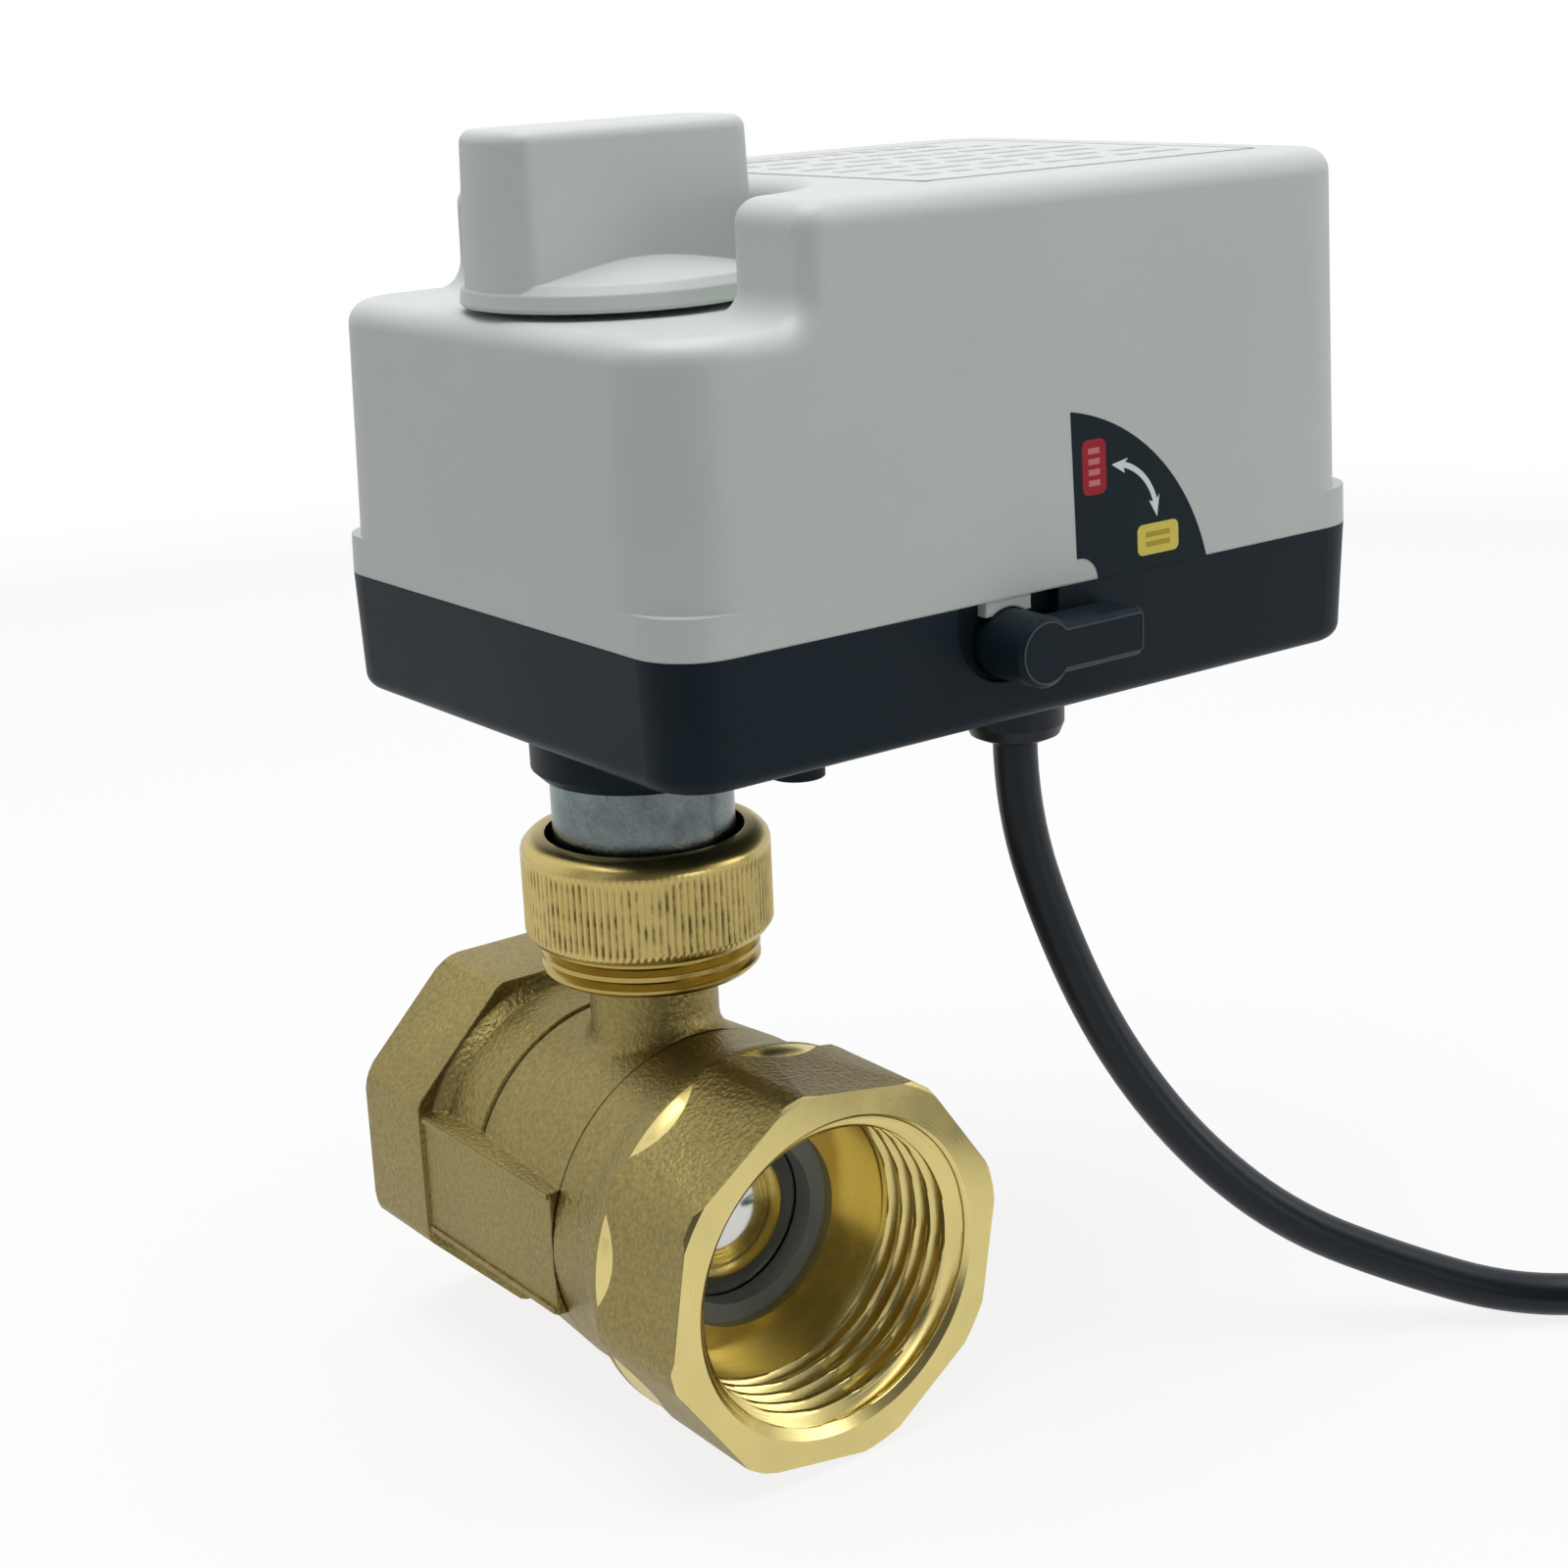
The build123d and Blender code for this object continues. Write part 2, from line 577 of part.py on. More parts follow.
second_angle, first_angle, motor_angle = radians(SECOND_ANGLE), radians(FIRST_ANGLE), radians(MOTOR_ANGLE)
SECOND_AXIS = beyond(0, 0, OUTPUT_MODULE * (OUTPUT_TEETH + SECOND_PINION_TEETH) / 2, second_angle)
FIRST_AXIS = beyond(*SECOND_AXIS, SECOND_MODULE * (SECOND_TEETH + FIRST_PINION_TEETH) / 2, first_angle)
MOTOR_AXIS = beyond(*FIRST_AXIS, FIRST_MODULE * (FIRST_TEETH + MOTOR_TEETH) / 2, motor_angle)
second_pinion_phase = mesh_phase(second_angle, 0, OUTPUT_TEETH, SECOND_PINION_TEETH)
first_pinion_phase = mesh_phase(first_angle, 0, SECOND_TEETH, FIRST_PINION_TEETH)
motor_pinion_phase = mesh_phase(motor_angle, 0, FIRST_TEETH, MOTOR_TEETH)
print("gear axes from the stem:", SECOND_AXIS, FIRST_AXIS, MOTOR_AXIS)

SHAFT_FOOT = STEM_SHAFT_TOP + 0.3
SHOULDER = (FLOOR_TOP + SLEEVE_LIP[1] + 0.1, GEAR_LEVELS["output"][0])
SHAFT_FLAT = 3.8
KNOB_SEAT = KNOB_BOTTOM + 1.0
SHAFT_END = KNOB_BOTTOM + SHAFT_REACH
CAM_R, CAM_LOBE_R, CAM_LOBE = 7.0, 9.0, 60.0
CAM_THICK = 2.5

with BuildPart() as drive_shaft:
    post(0, 0, SHAFT_R, SHAFT_FOOT, SHOULDER[0])
    post(0, 0, SHAFT_SHOULDER_R, *SHOULDER)
    post(0, 0, SHAFT_TOP_R, SHOULDER[1], SHAFT_END)
    with BuildSketch(level(SHAFT_FOOT)):
        Rectangle(STEM_SQUARE + 3 * SNUG, STEM_SQUARE + 3 * SNUG)
    extrude(amount=STEM_TOP - STEM_SHAFT_TOP, mode=Mode.SUBTRACT)
    with BuildSketch(level(KNOB_SEAT)):
        span((-SHAFT_TOP_R, SHAFT_TOP_R), (SHAFT_FLAT, SHAFT_TOP_R + 1))
    extrude(amount=SHAFT_END - KNOB_SEAT, mode=Mode.SUBTRACT)
keep(drive_shaft, "drive_shaft", STEEL)

with BuildPart() as output_gear:
    toothed(0, 0, OUTPUT_MODULE, OUTPUT_TEETH, 0, GEAR_LEVELS["output"], SHAFT_TOP_R)
keep(output_gear, "output_gear", STEEL)

with BuildPart() as second_gear:
    toothed(*SECOND_AXIS, OUTPUT_MODULE, SECOND_PINION_TEETH, second_pinion_phase,
            GEAR_LEVELS["second_pinion"], AXLE_R + FIT)
    post(*SECOND_AXIS, GEAR_HUBS[0], GEAR_LEVELS["second_pinion"][1], GEAR_LEVELS["second_wheel"][0])
    toothed(*SECOND_AXIS, SECOND_MODULE, SECOND_TEETH, 0, GEAR_LEVELS["second_wheel"], AXLE_R + FIT)
    post(*SECOND_AXIS, AXLE_R + FIT, GEAR_LEVELS["second_pinion"][0], GEAR_LEVELS["second_wheel"][1],
         mode=Mode.SUBTRACT)
keep(second_gear, "second_gear", STEEL)

with BuildPart() as first_gear:
    toothed(*FIRST_AXIS, SECOND_MODULE, FIRST_PINION_TEETH, first_pinion_phase,
            GEAR_LEVELS["first_pinion"], AXLE_R + FIT)
    post(*FIRST_AXIS, GEAR_HUBS[1], GEAR_LEVELS["first_pinion"][1], GEAR_LEVELS["first_wheel"][0])
    toothed(*FIRST_AXIS, FIRST_MODULE, FIRST_TEETH, 0, GEAR_LEVELS["first_wheel"], AXLE_R + FIT)
    post(*FIRST_AXIS, AXLE_R + FIT, GEAR_LEVELS["first_pinion"][0], GEAR_LEVELS["first_wheel"][1],
         mode=Mode.SUBTRACT)
keep(first_gear, "first_gear", WHITE)

with BuildPart() as motor_pinion:
    toothed(*MOTOR_AXIS, FIRST_MODULE, MOTOR_TEETH, motor_pinion_phase, GEAR_LEVELS["motor_pinion"], AXLE_R)
keep(motor_pinion, "motor_pinion", BRASS)

with BuildPart() as motor_shaft:
    post(*MOTOR_AXIS, AXLE_R, GEAR_LEVELS["motor_pinion"][0] - 0.3, PLATE[1])
keep(motor_shaft, "motor_shaft", STEEL)


def cam(name, switch_level, lobe_centre):
    """A switch cam: a round disc with a raised lobe over a sixth of its rim."""
    with BuildPart() as piece:
        with BuildSketch(level(switch_level - CAM_THICK / 2)):
            Circle(CAM_R)
            with BuildLine():
                rim = CenterArc((0, 0), CAM_LOBE_R, lobe_centre - CAM_LOBE / 2, CAM_LOBE)
                Line((0, 0), rim @ 0)
                Line((0, 0), rim @ 1)
            make_face()
            Circle(SHAFT_TOP_R, mode=Mode.SUBTRACT)
        extrude(amount=CAM_THICK)
    keep(piece, name, WHITE)


SWITCH_LEVELS = [PLATE[1] + SWITCH[2] * (tier + 0.5) for tier in range(2)]
cam("closing_cam", SWITCH_LEVELS[0], 90)
cam("opening_cam", SWITCH_LEVELS[1], 0)

with BuildPart() as knob:
    ledge = [(0, KNOB_BOTTOM), (KNOB_R - 0.2, KNOB_BOTTOM), (KNOB_R, KNOB_BOTTOM + 0.3)]
    ledge += [(KNOB_R - 0.2, KNOB_LEDGE - 1.6), (KNOB_R - 0.9, KNOB_LEDGE - 0.7)]
    ledge += [(KNOB_GRIP / 2, KNOB_LEDGE + 1.0), (0, KNOB_LEDGE + 1.0)]
    turned(ledge, axis=STEM_AXIS, plane=STEM_SIDE)
    with BuildSketch(level(KNOB_BOTTOM + 1)) as grip:
        Circle(KNOB_R - 0.3)
        Rectangle(3 * KNOB_R, KNOB_GRIP, mode=Mode.INTERSECT)
        fillet(grip.vertices(), KNOB_CORNER)
    extrude(amount=KNOB_TOP - KNOB_BOTTOM - 1, taper=KNOB_DRAFT)
    fillet(knob.faces().sort_by(Axis.Z)[-1].edges(), KNOB_EDGE)
    post(0, 0, KNOB_R - 2.2, KNOB_BOTTOM, KNOB_SEAT - 0.5, mode=Mode.SUBTRACT)
    post(0, 0, SHAFT_TOP_R, KNOB_BOTTOM, SHAFT_END, mode=Mode.SUBTRACT)
    with BuildSketch(level(KNOB_SEAT)) as flat:
        span((-SHAFT_TOP_R, SHAFT_TOP_R), (SHAFT_FLAT, SHAFT_TOP_R + 1))
        Circle(SHAFT_TOP_R, mode=Mode.INTERSECT)
    extrude(amount=SHAFT_END - KNOB_SEAT)
keep(knob, "knob", GREY)

# Actuator housing


def box_plan(corner, inset=0.0, mode=Mode.ADD):
    """The plan of the box, set in by a wall if asked: a long rounded rectangle in the open sketch."""
    with Locations(((BOX_X[0] + BOX_X[1]) / 2, 0)):
        RectangleRounded(BOX_X[1] - BOX_X[0] - 2 * inset, 2 * (BOX_Y - inset), corner - inset, mode=mode)


def screw(x, y, size, seat, tip):
    """A pan-head screw at (x, y): its head stands on the seat and its shank ends at the tip."""
    shank_r, head_r, head = size
    post(x, y, head_r, seat, seat + head if tip < seat else seat - head)
    post(x, y, shank_r, seat, tip)


PLATE_POSTS = [(-8.0, -18.5), (-8.0, 18.5), (66.5, -19.3), (66.0, 19.0)]
COVER_POSTS = [(-11.0, -26.0), (-11.0, 26.0), (67.8, -26.5), (67.8, 26.5)]
FEET = [(2.4, -23.8), (2.4, 23.8)]
SCREW_SEAT = BASE_BOTTOM + 3.0
COVER_SCREW_TIP = PARTING + 12.0
AXLE_BOSS_TOP = FLOOR_TOP + 1.5
AXLE_FOOT = FLOOR_TOP - 1.0
BOSS_OVERLAP = 1.0

with BuildPart() as base_housing:
    with BuildSketch(level(PARTING)):
        box_plan(BOX_CORNER_R)
    extrude(amount=-(PARTING - BASE_BOTTOM), taper=BASE_DRAFT)
    fillet(base_housing.faces().sort_by(Axis.Z)[0].edges(), BASE_FILLET)
    with BuildSketch(level(PARTING)):
        box_plan(BOX_CORNER_R, WALL)
    extrude(amount=-(PARTING - FLOOR_TOP), taper=BASE_DRAFT, mode=Mode.SUBTRACT)
    with BuildSketch(level(PARTING)):
        box_plan(BOX_CORNER_R, GASKET_INSET)
    extrude(amount=-GASKET_DEPTH, mode=Mode.SUBTRACT)
    collar = [(0, COLLAR_BOTTOM), (COLLAR_R - 1, COLLAR_BOTTOM), (COLLAR_R, COLLAR_BOTTOM + 1)]
    collar += [(COLLAR_R, BASE_BOTTOM + BOSS_OVERLAP), (0, BASE_BOTTOM + BOSS_OVERLAP)]
    turned(collar, axis=STEM_AXIS, plane=STEM_SIDE)
    post(0, 0, SLEEVE_R + FIT, COLLAR_BOTTOM, FLOOR_TOP, mode=Mode.SUBTRACT)
    for x, y in FEET:
        post(x, y, FOOT_R, BASE_BOTTOM - FOOT_HEIGHT, BASE_BOTTOM + BOSS_OVERLAP)
    for x, y in PLATE_POSTS:
        post(x, y, PLATE_POST_R, BASE_BOTTOM + BOSS_OVERLAP, PLATE[0])
        post(x, y, SMALL_SCREW[0] + SNUG, PLATE[0] - PILOT_DEPTH, PLATE[0], mode=Mode.SUBTRACT)
    for x, y in COVER_POSTS:
        post(x, y, COVER_BOSS_R, BASE_BOTTOM + BOSS_OVERLAP, PARTING)
        post(x, y, COVER_SCREW[0] + 2 * FIT, BASE_BOTTOM, PARTING, mode=Mode.SUBTRACT)
        post(x, y, COVER_SCREW[1] + HEAD_ROOM, BASE_BOTTOM, SCREW_SEAT, mode=Mode.SUBTRACT)
    for x, y in (SECOND_AXIS, FIRST_AXIS, GUIDE):
        post(x, y, AXLE_BOSS_R, BASE_BOTTOM + BOSS_OVERLAP, AXLE_BOSS_TOP)
        post(x, y, AXLE_R + SNUG, AXLE_FOOT, AXLE_BOSS_TOP, mode=Mode.SUBTRACT)
    post(*GLAND, GLAND_NECK_R, BASE_BOTTOM - 1, FLOOR_TOP + 1, mode=Mode.SUBTRACT)
    with BuildSketch(side(-BOX_Y - 2)):
        with Locations((LEVER_X, LEVER_POCKET_Z)):
            Circle(LEVER_POCKET_R)
        with Locations((LEVER_X, LEVER_POCKET_Z + 10)):
            Rectangle(2 * LEVER_POCKET_R, 20)
    extrude(amount=-(2 + LEVER_POCKET_DEPTH), mode=Mode.SUBTRACT)
    with BuildSketch(side(-BOX_Y + LEVER_POCKET_DEPTH)):
        with Locations((LEVER_X, LEVER_Z)):
            Circle(LEVER_SHAFT_R + LEVER_BOSS_WALL)
    extrude(amount=-(WALL - LEVER_POCKET_DEPTH + 2.0))
    with BuildSketch(side(-BOX_Y)):
        with Locations((LEVER_X, LEVER_Z)):
            Circle(LEVER_SHAFT_R + FIT)
    extrude(amount=-(WALL + 4), mode=Mode.SUBTRACT)
keep(base_housing, "base_housing", BLACK)

with BuildPart() as cover_gasket:
    with BuildSketch(level(PARTING)):
        box_plan(BOX_CORNER_R, GASKET_INSET)
        box_plan(BOX_CORNER_R, WALL, mode=Mode.SUBTRACT)
    extrude(amount=-GASKET_DEPTH)
    for x, y in COVER_POSTS:
        post(x, y, COVER_BOSS_R, PARTING - GASKET_DEPTH, PARTING, mode=Mode.SUBTRACT)
keep(cover_gasket, "cover_gasket", BLACK)

with BuildPart() as step_cut:
    with BuildSketch(level(DECK)) as step_plan:
        with Locations((STEP_X - BOX_Y, 0)):
            Rectangle(2 * BOX_Y, 3 * BOX_Y)
        Circle(RECESS_R)
        corners = step_plan.vertices().filter_by(lambda v: abs(v.X - STEP_X) < 0.01 and abs(v.Y) < BOX_Y)
        fillet(corners, STEP_CORNER)
    extrude(amount=ROOF - DECK + 1)
    foot = step_cut.faces().sort_by(Axis.Z)[0].edges().filter_by(lambda e: e.center().X > STEP_X - 1)
    fillet(foot, STEP_FILLET)


def on_rim(edge):
    """Whether an edge of the stepped block is one of its outer top edges."""
    box = edge.bounding_box()
    middle = edge.center()
    if box.min.Z < DECK - 0.05:
        return False
    if box.min.Z > ROOF - 0.05:
        return True
    away = abs(middle.Y - STEM_Y)
    drawn_in = (middle.Z - PARTING) * tan(radians(COVER_DRAFT))
    at_side = away > BOX_Y - drawn_in - 0.3
    at_end = middle.X < BOX_X[0] + drawn_in + 0.3
    at_corner = middle.X < BOX_X[0] + COVER_CORNER_R and away > BOX_Y - COVER_CORNER_R - 1.5
    return at_side or at_end or at_corner


SHAFT_SEAL_CENTRE_R = SHAFT_TOP_R + 2 * FIT + SHAFT_SEAL_R
SHAFT_SEAL_Z = DECK - 2 * FIT - SHAFT_SEAL_R

with BuildPart() as cover:
    with BuildSketch(level(PARTING)):
        box_plan(COVER_CORNER_R)
    extrude(amount=ROOF - PARTING, taper=COVER_DRAFT)
    add(step_cut.part, mode=Mode.SUBTRACT)
    fillet(cover.edges().filter_by(on_rim), TOP_FILLET)
    with BuildSketch(level(PARTING)):
        box_plan(BOX_CORNER_R)
    extrude(amount=BAND, taper=COVER_DRAFT)
    with BuildSketch(level(PARTING)):
        box_plan(COVER_CORNER_R, WALL)
    extrude(amount=CEILING - PARTING, taper=COVER_DRAFT, mode=Mode.SUBTRACT)
    with BuildSketch(level(CEILING)):
        box_plan(COVER_CORNER_R, WALL + (ROOF - PARTING) * tan(radians(COVER_DRAFT)))
        with Locations((STEP_X + WALL - BOX_Y, 0)):
            Rectangle(2 * BOX_Y, 3 * BOX_Y, mode=Mode.SUBTRACT)
        Circle(RECESS_R + WALL, mode=Mode.SUBTRACT)
    extrude(amount=ROOF - DECK, mode=Mode.SUBTRACT)
    for x, y in COVER_POSTS:
        post(x, y, COVER_BOSS_R, PARTING, COVER_BOSS_TOP)
        post(x, y, COVER_SCREW[0] + SNUG, PARTING, COVER_SCREW_TIP + 1, mode=Mode.SUBTRACT)
    post(0, 0, SHAFT_TOP_R + FIT, CEILING - 1, DECK + 1, mode=Mode.SUBTRACT)
    post(0, 0, SHAFT_SEAL_CENTRE_R + SHAFT_SEAL_R, SHAFT_SEAL_Z - SHAFT_SEAL_R, DECK + 1, mode=Mode.SUBTRACT)
    with BuildSketch(side(-BOX_Y + LEVER_POCKET_DEPTH - 0.1)):
        with Locations((LEVER_X, (PARTING + TONGUE_BOTTOM + BOSS_OVERLAP) / 2)):
            Rectangle(2 * TONGUE_HALF, PARTING + BOSS_OVERLAP - TONGUE_BOTTOM)
        with Locations((LEVER_X, LEVER_Z)):
            Circle(LEVER_HUB_R + 0.15, mode=Mode.SUBTRACT)
    extrude(amount=LEVER_POCKET_DEPTH - 0.2)
keep(cover, "cover", GREY)

with BuildPart() as knob_seal:
    with Locations((0, STEM_Y, SHAFT_SEAL_Z)):
        Torus(SHAFT_SEAL_CENTRE_R, SHAFT_SEAL_R)
keep(knob_seal, "knob_seal", BLACK)

with BuildPart() as cover_screws:
    for x, y in COVER_POSTS:
        screw(x, y, COVER_SCREW, SCREW_SEAT, COVER_SCREW_TIP)
keep(cover_screws, "cover_screws", STEEL)

# Gear plate, axles and clutch

with BuildPart() as gear_plate:
    with BuildSketch(level(PLATE[0])):
        span(PLATE_X, (-PLATE_Y, PLATE_Y))
        span(PLATE_WING_X, (-PLATE_WING_Y, PLATE_WING_Y))
        with Locations(*COVER_POSTS):
            Circle(COVER_BOSS_R + 2 * HEAD_ROOM, mode=Mode.SUBTRACT)
        Circle(SHAFT_TOP_R + FIT, mode=Mode.SUBTRACT)
        with Locations(MOTOR_AXIS):
            Circle(MOTOR_SPIGOT_R, mode=Mode.SUBTRACT)
        with Locations(GLAND):
            Circle(CLAMP_R, mode=Mode.SUBTRACT)
        with Locations(SECOND_AXIS, FIRST_AXIS, GUIDE):
            Circle(AXLE_R + SNUG, mode=Mode.SUBTRACT)
        with Locations(*PLATE_POSTS):
            Circle(SMALL_SCREW[0] + 2 * FIT, mode=Mode.SUBTRACT)
    extrude(amount=PLATE[1] - PLATE[0])
    ears = [beyond(*MOTOR_CENTRE, EAR_REACH, radians(EAR_ANGLE + turn)) for turn in (0, 180)]
    switch_holes = [(x, SWITCH_FACE + y) for x, y in SWITCH_HOLES]
    for x, y in ears + switch_holes:
        post(x, y, SMALL_SCREW[0] + SNUG, *PLATE, mode=Mode.SUBTRACT)
keep(gear_plate, "gear_plate", STEEL)

with BuildPart() as plate_screws:
    for x, y in PLATE_POSTS:
        screw(x, y, SMALL_SCREW, PLATE[1], PLATE[0] - PILOT_DEPTH + 1)
keep(plate_screws, "plate_screws", STEEL)

AXLES = {"second_axle": SECOND_AXIS, "first_axle": FIRST_AXIS, "guide_pin": GUIDE}
for name, centre in AXLES.items():
    with BuildPart() as axle:
        post(*centre, AXLE_R, AXLE_FOOT, PLATE[1])
    keep(axle, name, STEEL)

with BuildPart() as clutch_slider:
    with BuildSketch(level(SLIDER_ARM_Z[0])):
        with BuildLine():
            Polyline(
                (SLIDER_PLATE_X[0] + 1.5, -SLIDER_PLATE_Y[1]),
                (SLIDER_PLATE_X[1] - 0.5, -SLIDER_PLATE_Y[1]),
                (FIRST_AXIS[0] + SLIDER_ARM_HALF, FIRST_AXIS[1]),
                (FIRST_AXIS[0] - SLIDER_ARM_HALF, FIRST_AXIS[1]),
                close=True,
            )
        make_face()
        with Locations(FIRST_AXIS):
            Circle(SLIDER_BOSS_R)
            Circle(AXLE_R + FIT, mode=Mode.SUBTRACT)
        with Locations(GUIDE):
            Circle(SLIDER_BOSS_R)
            Circle(AXLE_R + FIT, mode=Mode.SUBTRACT)
    extrude(amount=SLIDER_ARM_Z[1] - SLIDER_ARM_Z[0])
    with BuildSketch(side(-SLIDER_PLATE_Y[1])):
        span(SLIDER_PLATE_X, SLIDER_PLATE_Z)
        with Locations((LEVER_X + CRANK * 1.2, LEVER_Z - CRANK)):
            Rectangle(*SLIDER_SLOT, mode=Mode.SUBTRACT)
    extrude(amount=SLIDER_PLATE_Y[0] - SLIDER_PLATE_Y[1])
keep(clutch_slider, "clutch_slider", WHITE)

with BuildPart() as clutch_spring:
    post(*FIRST_AXIS, SPRING_R[0], GEAR_LEVELS["first_wheel"][1], PLATE[0])
    post(*FIRST_AXIS, SPRING_R[1], GEAR_LEVELS["first_wheel"][1], PLATE[0], mode=Mode.SUBTRACT)
keep(clutch_spring, "clutch_spring", STEEL)

with BuildPart() as manual_lever:
    with BuildSketch(side(-LEVER_BACK)) as blade:
        with Locations((LEVER_X, LEVER_Z)):
            with Locations((LEVER_TIP / 2, 0)):
                Rectangle(LEVER_TIP, 2 * LEVER_ARM_HALF)
        fillet(blade.vertices().sort_by(Axis.X)[-2:], LEVER_TIP_R)
        with Locations((LEVER_X, LEVER_Z)):
            Circle(LEVER_HUB_R)
    extrude(amount=LEVER_FRONT - LEVER_BACK)
    chamfer(manual_lever.faces().sort_by(Axis.Y)[0].edges(), LEVER_BEVEL)
    spindle = [
        (LEVER_HUB_R, LEVER_BACK, LEVER_HUB_BACK),
        (LEVER_SHAFT_R, LEVER_HUB_BACK, CRANK_WEB[0]),
        (CRANK_WEB_R, *CRANK_WEB),
    ]
    for radius, start, end in spindle:
        with BuildSketch(side(-start)) as disc:
            with Locations((LEVER_X, LEVER_Z)):
                Circle(radius)
        extrude(amount=-(start - end))
    with BuildSketch(side(-CRANK_WEB[1])):
        with Locations((LEVER_X + CRANK, LEVER_Z - CRANK)):
            Circle(CRANK_PIN_R)
    extrude(amount=-(CRANK_WEB[1] - CRANK_PIN_END))
    with BuildSketch(side(-LEVER_SEAL_Y - LEVER_GROOVE / 2)):
        with Locations((LEVER_X, LEVER_Z)):
            Circle(LEVER_SHAFT_R + 0.1)
            Circle(LEVER_SHAFT_R - 2 * SEAL_SECTION_R, mode=Mode.SUBTRACT)
    extrude(amount=-LEVER_GROOVE, mode=Mode.SUBTRACT)
keep(manual_lever, "manual_lever", BLACK)

with BuildPart() as lever_seal:
    with Locations(Plane((LEVER_X, STEM_Y - LEVER_SEAL_Y, LEVER_Z), z_dir=(0, 1, 0)).location):
        Torus(LEVER_SHAFT_R - SEAL_SECTION_R, SEAL_SECTION_R)
keep(lever_seal, "lever_seal", BLACK)

# Motor, switches and electrics

with BuildPart() as motor:
    post(*MOTOR_CENTRE, MOTOR_R, PLATE[1], MOTOR_HEAD_TOP)
    post(*MOTOR_CENTRE, MOTOR_R - MOTOR_RIM, MOTOR_HEAD_TOP, MOTOR_TOP)
    post(*MOTOR_CENTRE, MOTOR_BOSS[0], MOTOR_TOP, MOTOR_TOP + MOTOR_BOSS[1])
    with BuildSketch(level(PLATE[1])):
        with Locations(ears[0], ears[1]):
            Circle(EAR_R)
        with Locations(MOTOR_CENTRE):
            Rectangle(2 * EAR_REACH, 2 * EAR_R, rotation=EAR_ANGLE)
        with Locations(ears[0], ears[1]):
            Circle(SMALL_SCREW[0] + SNUG, mode=Mode.SUBTRACT)
    extrude(amount=EAR_THICK)
    post(*MOTOR_AXIS, AXLE_R + SNUG, PLATE[1] - 1, PLATE[1] + 2, mode=Mode.SUBTRACT)
keep(motor, "motor", STEEL)

with BuildPart() as motor_screws:
    for x, y in ears:
        screw(x, y, SMALL_SCREW, PLATE[1] + EAR_THICK, PLATE[0] - 1.5)
keep(motor_screws, "motor_screws", STEEL)

for name, switch_level in zip(("closing_switch", "opening_switch"), SWITCH_LEVELS):
    with BuildPart() as switch:
        with BuildSketch(level(switch_level - SWITCH[2] / 2)):
            with Locations((0, SWITCH_FACE + SWITCH[1] / 2)):
                Rectangle(SWITCH[0], SWITCH[1])
            with Locations(*switch_holes):
                Circle(SMALL_SCREW[0] + SNUG, mode=Mode.SUBTRACT)
        extrude(amount=SWITCH[2])
        with BuildSketch(side(SWITCH_FACE)):
            with Locations((0, switch_level)):
                Circle(SWITCH_BUTTON_R)
        extrude(amount=SWITCH_FACE - CAM_LOBE_R - 0.3)
    keep(switch, name, BLACK)

SWITCH_TOP = PLATE[1] + 2 * SWITCH[2]
with BuildPart() as switch_screws:
    for x, y in switch_holes:
        screw(x, y, SMALL_SCREW, SWITCH_TOP, PLATE[0] - 1.5)
keep(switch_screws, "switch_screws", STEEL)

with BuildPart() as circuit_board:
    with BuildSketch(side(BOARD_Y)):
        span(BOARD_X, (PLATE[1], BOARD_TOP))
    extrude(amount=-BOARD_THICK)
keep(circuit_board, "circuit_board", Color(0.10, 0.32, 0.16))

with BuildPart() as capacitor:
    with BuildSketch(side(BOARD_Y)):
        with Locations(((BOARD_X[0] + BOARD_X[1]) / 2, (MOTOR_HEAD_TOP + MOTOR_TOP) / 2)):
            RectangleRounded(CAPACITOR[0], CAPACITOR[2], 1.0)
    extrude(amount=CAPACITOR[1])
keep(capacitor, "capacitor", Color(0.75, 0.32, 0.12))

with BuildPart() as terminal_block:
    with BuildSketch(level(PLATE[1])):
        with Locations(TERMINALS_CENTRE):
            Rectangle(TERMINALS[0], TERMINALS[1])
    extrude(amount=TERMINALS[2])
    for pole in (-1, 0, 1):
        centre = (TERMINALS_CENTRE[0] + pole * TERMINAL_PITCH, TERMINALS_CENTRE[1])
        post(*centre, 1.6, PLATE[1] + TERMINALS[2] - 2, PLATE[1] + TERMINALS[2], mode=Mode.SUBTRACT)
keep(terminal_block, "terminal_block", WHITE)

# Cable gland, cable and its coil


def at_gland(outline):
    """Revolve an outline of (radius, height) points about the gland's axis."""
    plane = Plane((GLAND[0], STEM_Y + GLAND[1], 0), x_dir=(1, 0, 0), z_dir=(0, -1, 0))
    turned(outline, axis=Axis(plane.origin, (0, 0, 1)), plane=plane)


with BuildPart() as cable_gland:
    bore = CABLE_R + SNUG
    dome = [(bore, GLAND_BOTTOM), (GLAND_R - 1.6, GLAND_BOTTOM), (GLAND_R - 0.5, GLAND_BOTTOM + 0.5)]
    dome += [(GLAND_R, GLAND_BOTTOM + 1.7), (GLAND_R, BASE_BOTTOM), (GLAND_NECK_R - SNUG, BASE_BOTTOM)]
    dome += [(GLAND_NECK_R - SNUG, FLOOR_TOP), (GLAND_FLANGE_R, FLOOR_TOP)]
    dome += [(GLAND_FLANGE_R, FLOOR_TOP + GLAND_FLANGE_THICK), (bore, FLOOR_TOP + GLAND_FLANGE_THICK)]
    at_gland(dome)
keep(cable_gland, "cable_gland", BLACK)

with BuildPart() as inner_cable:
    post(*GLAND, CABLE_R, GLAND_BOTTOM, JACKET_END)
keep(inner_cable, "inner_cable", BLACK)

